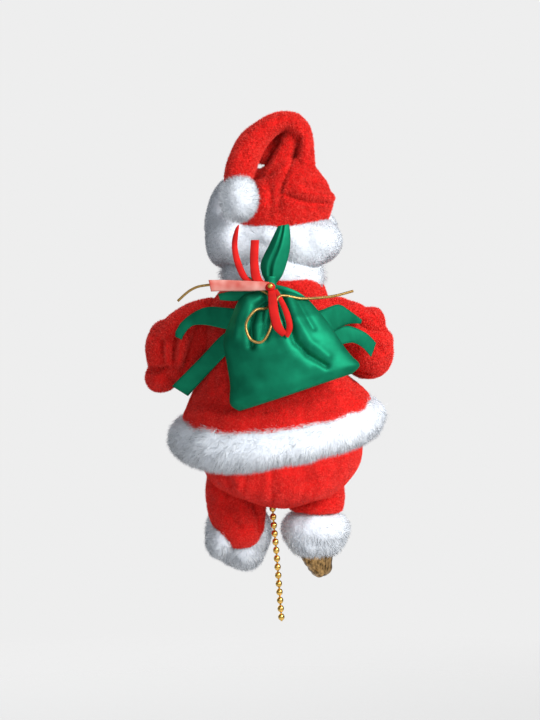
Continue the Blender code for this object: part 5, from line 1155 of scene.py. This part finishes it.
def build_leaf():
    """The gathered mouth of the sack above its tie."""
    ribs = 40
    middle_depth = 43.5
    fullness = 3.2
    valley_depth = 2.0
    left = between([(268, 285), (262, 274), (261, 262), (269.5, 244), (278, 226)], ribs)
    right = between([(275, 285), (283, 274), (289.5, 252), (290.5, 236), (289, 224)], ribs)
    rings = []
    for t, a, b in zip(np.linspace(0, 1, ribs), left, right):
        thick = fullness * np.sin(pi * min(1, 0.12 + 0.8 * t)) ** 0.8 + 0.4
        row = []
        for angle in turns(48):
            s = cos(angle)
            valley = valley_depth * np.exp(-((s + 0.25 - 0.2 * t) / 0.16) ** 2) * (sin(angle) > 0)
            crown = np.sign(sin(angle)) * (1 - abs(s)) ** 0.8
            depth = middle_depth - t + (thick + 0.6) * crown - valley * sin(angle)
            px, py = (a + b)[:2] / 2 + (b - a)[:2] / 2 * s
            row.append(seen(px, py, depth))
        rings.append(row)
    leaf = new_mesh("leaf_form", *rings_shape(rings))
    dress(leaf, "sack_mouth", "body", *GREEN_CLOTH)
    gather = [(*seen(271, 276, 43.5), 3.4), (*seen(270.5, 286, 44), 3.0), (*seen(269, 296, 45), 5.0)]
    neck = blob("sack_neck_form", [pipe(gather, 0.8)], 0.5, 3)
    dress(neck, "sack_neck", "body", *GREEN_CLOTH)
    ribbon("left_flap", [(218, 294), (232, 291), (248, 289), (262, 287)],
           [(220, 300), (234, 301), (248, 299), (262, 294)], [39.5, 41, 43, 45], GREEN_CLOTH)
    ribbon("left_gather", [(240, 283), (246, 277), (254, 279), (266, 285)],
           [(241, 286), (248, 282), (255, 284), (264, 288)], [41, 42, 43, 44], GREEN_CLOTH)
    ribbon("right_flap", [(272, 284), (286, 287), (298, 292), (309, 300)],
           [(274, 290), (286, 293), (296, 297), (306, 303)], [45, 46, 45, 43], GREEN_CLOTH)


def build_straps():
    upper_left = ribbon("left_upper_strap",
                        [(238, 329), (226, 329), (206, 325), (192, 326), (184, 335), (182, 340)],
                        [(240, 309), (229, 308), (208, 307), (193, 313), (180, 324), (175, 336)],
                        [36.5, 35.5, 26.5, 20.5, 18, 17.5], GREEN_CLOTH)
    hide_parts("left_strap")
    ribbon("left_strap_curl", [(185, 325), (179, 327), (175.5, 332), (176, 337)],
           [(190, 328), (185.5, 330), (182, 334), (181, 339)], [18.5, 18, 17.5, 17], GREEN_CLOTH)
    ribbon("left_lower_strap", [(232, 330), (221, 336), (200, 358), (172, 386)],
           [(232, 350), (224, 357), (210, 372), (188, 396)], [37, 34, 24, 15], GREEN_CLOTH)
    upper_right = ribbon("right_upper_strap", [(310, 312), (321, 310), (338, 304.5), (350, 311), (362, 320)],
                         [(326, 336), (334, 331.5), (342, 327), (349, 324), (361, 323.5)],
                         [42, 38, 28, 22, 15], GREEN_CLOTH)
    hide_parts("right_strap")
    ribbon("right_lower_strap", [(330, 334), (338, 329), (349, 326), (366, 333), (376, 343)],
           [(334, 348), (344, 344), (354, 343), (363, 348), (371, 357)], [40, 34, 28, 22, 17], GREEN_CLOTH)


def build_ribbons():
    # the tail wears the paler red satin: painted sheen and painted highlight
    tail = ribbon("ribbon_tail", [(208.5, 280), (225, 280), (250, 281), (269, 282)],
                  [(211, 291.5), (226, 291), (250, 291), (269, 290)], [48, 48.8, 51, 52], RED_CLOTH_PAINTED_SHEEN)
    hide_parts("sack_ribbon")
    ribbon("ribbon_point", [(256, 286), (242, 279), (234, 261), (232, 243), (235, 230), (238.3, 225)],
           [(262, 283), (249, 278), (241, 262), (237.5, 248), (238, 235), (239, 225)],
           [49, 46.5, 45, 45, 45.5, 46], RED_CLOTH)
    ribbon("ribbon_square", [(262, 288), (252, 279), (250, 260), (251, 240)],
           [(269, 285), (262, 279), (258.5, 264), (259, 240)], [50, 48, 46.5, 46.5], RED_CLOTH)
    ribbon("ribbon_loop_near", [(268, 289), (268.3, 301), (269.3, 312.6), (273.4, 328), (282, 336.5)],
           [(274.5, 290), (276.8, 299), (278.6, 312.6), (282, 325), (287, 333)], [51, 57, 61.5, 62.8, 62],
           RED_CLOTH)
    ribbon("ribbon_loop_far", [(271, 291), (278.5, 301), (283.7, 314), (286.5, 326), (284, 335)],
           [(277, 289), (283.5, 300), (290, 314), (292.5, 328), (288, 338)], [50.5, 55.5, 59.5, 61.5, 62],
           RED_CLOTH)
    knot = new_mesh("knot_form", *egg(seen(270, 287, 51.5), (2.6, 2.2, 2.2)))
    dress(knot, "ribbon_knot", "body", *RED_CLOTH)
    bead = new_mesh("knot_bead_form", *egg(seen(270.3, 286, 53.6), (1.3, 1.1, 1.2)))
    dress(bead, "knot_bead", "body", BRIGHT_THREAD, "gold_thread")


# Light

BACKGROUND = (0.855, 0.855, 0.855)
AMBIENT = (0.93, 0.96, 1.0)
AMBIENT_STRENGTH = 0.21


def build_world():
    """The camera sees a plain grey, and the figure gets a faint light from all sides."""
    world = bpy.data.worlds.new("studio")
    bpy.context.scene.world = world
    world.use_nodes = True
    nodes_, links = world.node_tree.nodes, world.node_tree.links
    nodes_.clear()
    path = nodes_.new("ShaderNodeLightPath")
    ambient = nodes_.new("ShaderNodeBackground")
    set_inputs(ambient, Color=(*AMBIENT, 1), Strength=AMBIENT_STRENGTH)
    plain = nodes_.new("ShaderNodeBackground")
    set_inputs(plain, Color=(*BACKGROUND, 1))
    shown = nodes_.new("ShaderNodeMath")
    shown.operation = "MAXIMUM"
    mix = nodes_.new("ShaderNodeMixShader")
    output = nodes_.new("ShaderNodeOutputWorld")
    links.new(path.outputs["Is Camera Ray"], shown.inputs[0])
    links.new(path.outputs["Is Transmission Ray"], shown.inputs[1])
    for number, source in enumerate((shown, ambient, plain)):
        links.new(source.outputs[0], mix.inputs[number])
    links.new(mix.outputs[0], output.inputs["Surface"])


def area_light(name, place, target, size, power, colour=(1, 1, 1)):
    data = bpy.data.lights.new(name, "AREA")
    data.size = size
    data.energy = power
    data.color = colour
    light = bpy.data.objects.new(name, data)
    place, target = at(*place), at(*target)
    light.location = place
    light.rotation_euler = (target - place).to_track_quat("-Z", "Y").to_euler()
    bpy.context.scene.collection.objects.link(light)


def build_lights():
    """A strong light from the picture's right, a weak one from the camera's side, and one on the front."""
    area_light("key", (-840, 790, 650), (0, 20, 80), size=0.7, power=21.0, colour=(1.0, 0.985, 0.96))
    area_light("fill", (100, 1300, 280), (0, 20, 80), size=0.9, power=4.2, colour=(0.97, 0.98, 1.0))
    area_light("front", (300, -1000, 400), (0, -20, 80), size=1.2, power=8.0)


FLOOR_Z = -260.0
FLOOR_RADIUS = 900.0
FLOOR_COLOUR = (0.82, 0.82, 0.82)
FADE_START = 0.35
FADE_END = 0.95


def build_floor():
    """A pale round floor far below, which fades into the background at its rim."""
    angles = turns(64)
    rings = [np.column_stack((r * np.cos(angles), r * np.sin(angles), np.full(len(angles), FLOOR_Z)))
             for r in (FLOOR_RADIUS, FLOOR_RADIUS * 0.5, 1.0)]
    points, faces = rings_shape(rings)
    floor = new_mesh("floor", points, [f for f in faces if len(f) == 4] + [faces[-1]])
    material, nodes_, links, shader = new_material("pale_floor")
    set_inputs(shader, Base_Color=(*FLOOR_COLOUR, 1), Roughness=0.9)
    geometry = nodes_.new("ShaderNodeNewGeometry")
    flat = nodes_.new("ShaderNodeVectorMath")
    flat.operation = "MULTIPLY"
    flat.inputs[1].default_value = (1, 1, 0)
    length = nodes_.new("ShaderNodeVectorMath")
    length.operation = "LENGTH"
    fade = nodes_.new("ShaderNodeMapRange")
    set_inputs(fade, From_Min=FLOOR_RADIUS * MM * FADE_START, From_Max=FLOOR_RADIUS * MM * FADE_END)
    clear = nodes_.new("ShaderNodeBsdfTransparent")
    mix = nodes_.new("ShaderNodeMixShader")
    links.new(geometry.outputs["Position"], flat.inputs[0])
    links.new(flat.outputs[0], length.inputs[0])
    links.new(length.outputs["Value"], fade.inputs["Value"])
    for number, output in enumerate((fade.outputs["Result"], shader.outputs[0], clear.outputs[0])):
        links.new(output, mix.inputs[number])
    links.new(mix.outputs[0], nodes_["Material Output"].inputs["Surface"])
    floor.data.materials.append(material)


build_camera()
finish_cad_nodes()
build_chain()
build_gold_cord()
build_jacket()
build_trousers()
build_hem()
build_sleeves()
build_hands()
build_legs()
build_head()
build_beard()
build_hair()
build_band()
build_hat()
build_pom_pom()
build_sack()
build_leaf()
build_straps()
build_ribbons()
build_world()
build_lights()
build_floor()
bpy.context.scene.view_settings.view_transform = "Standard"
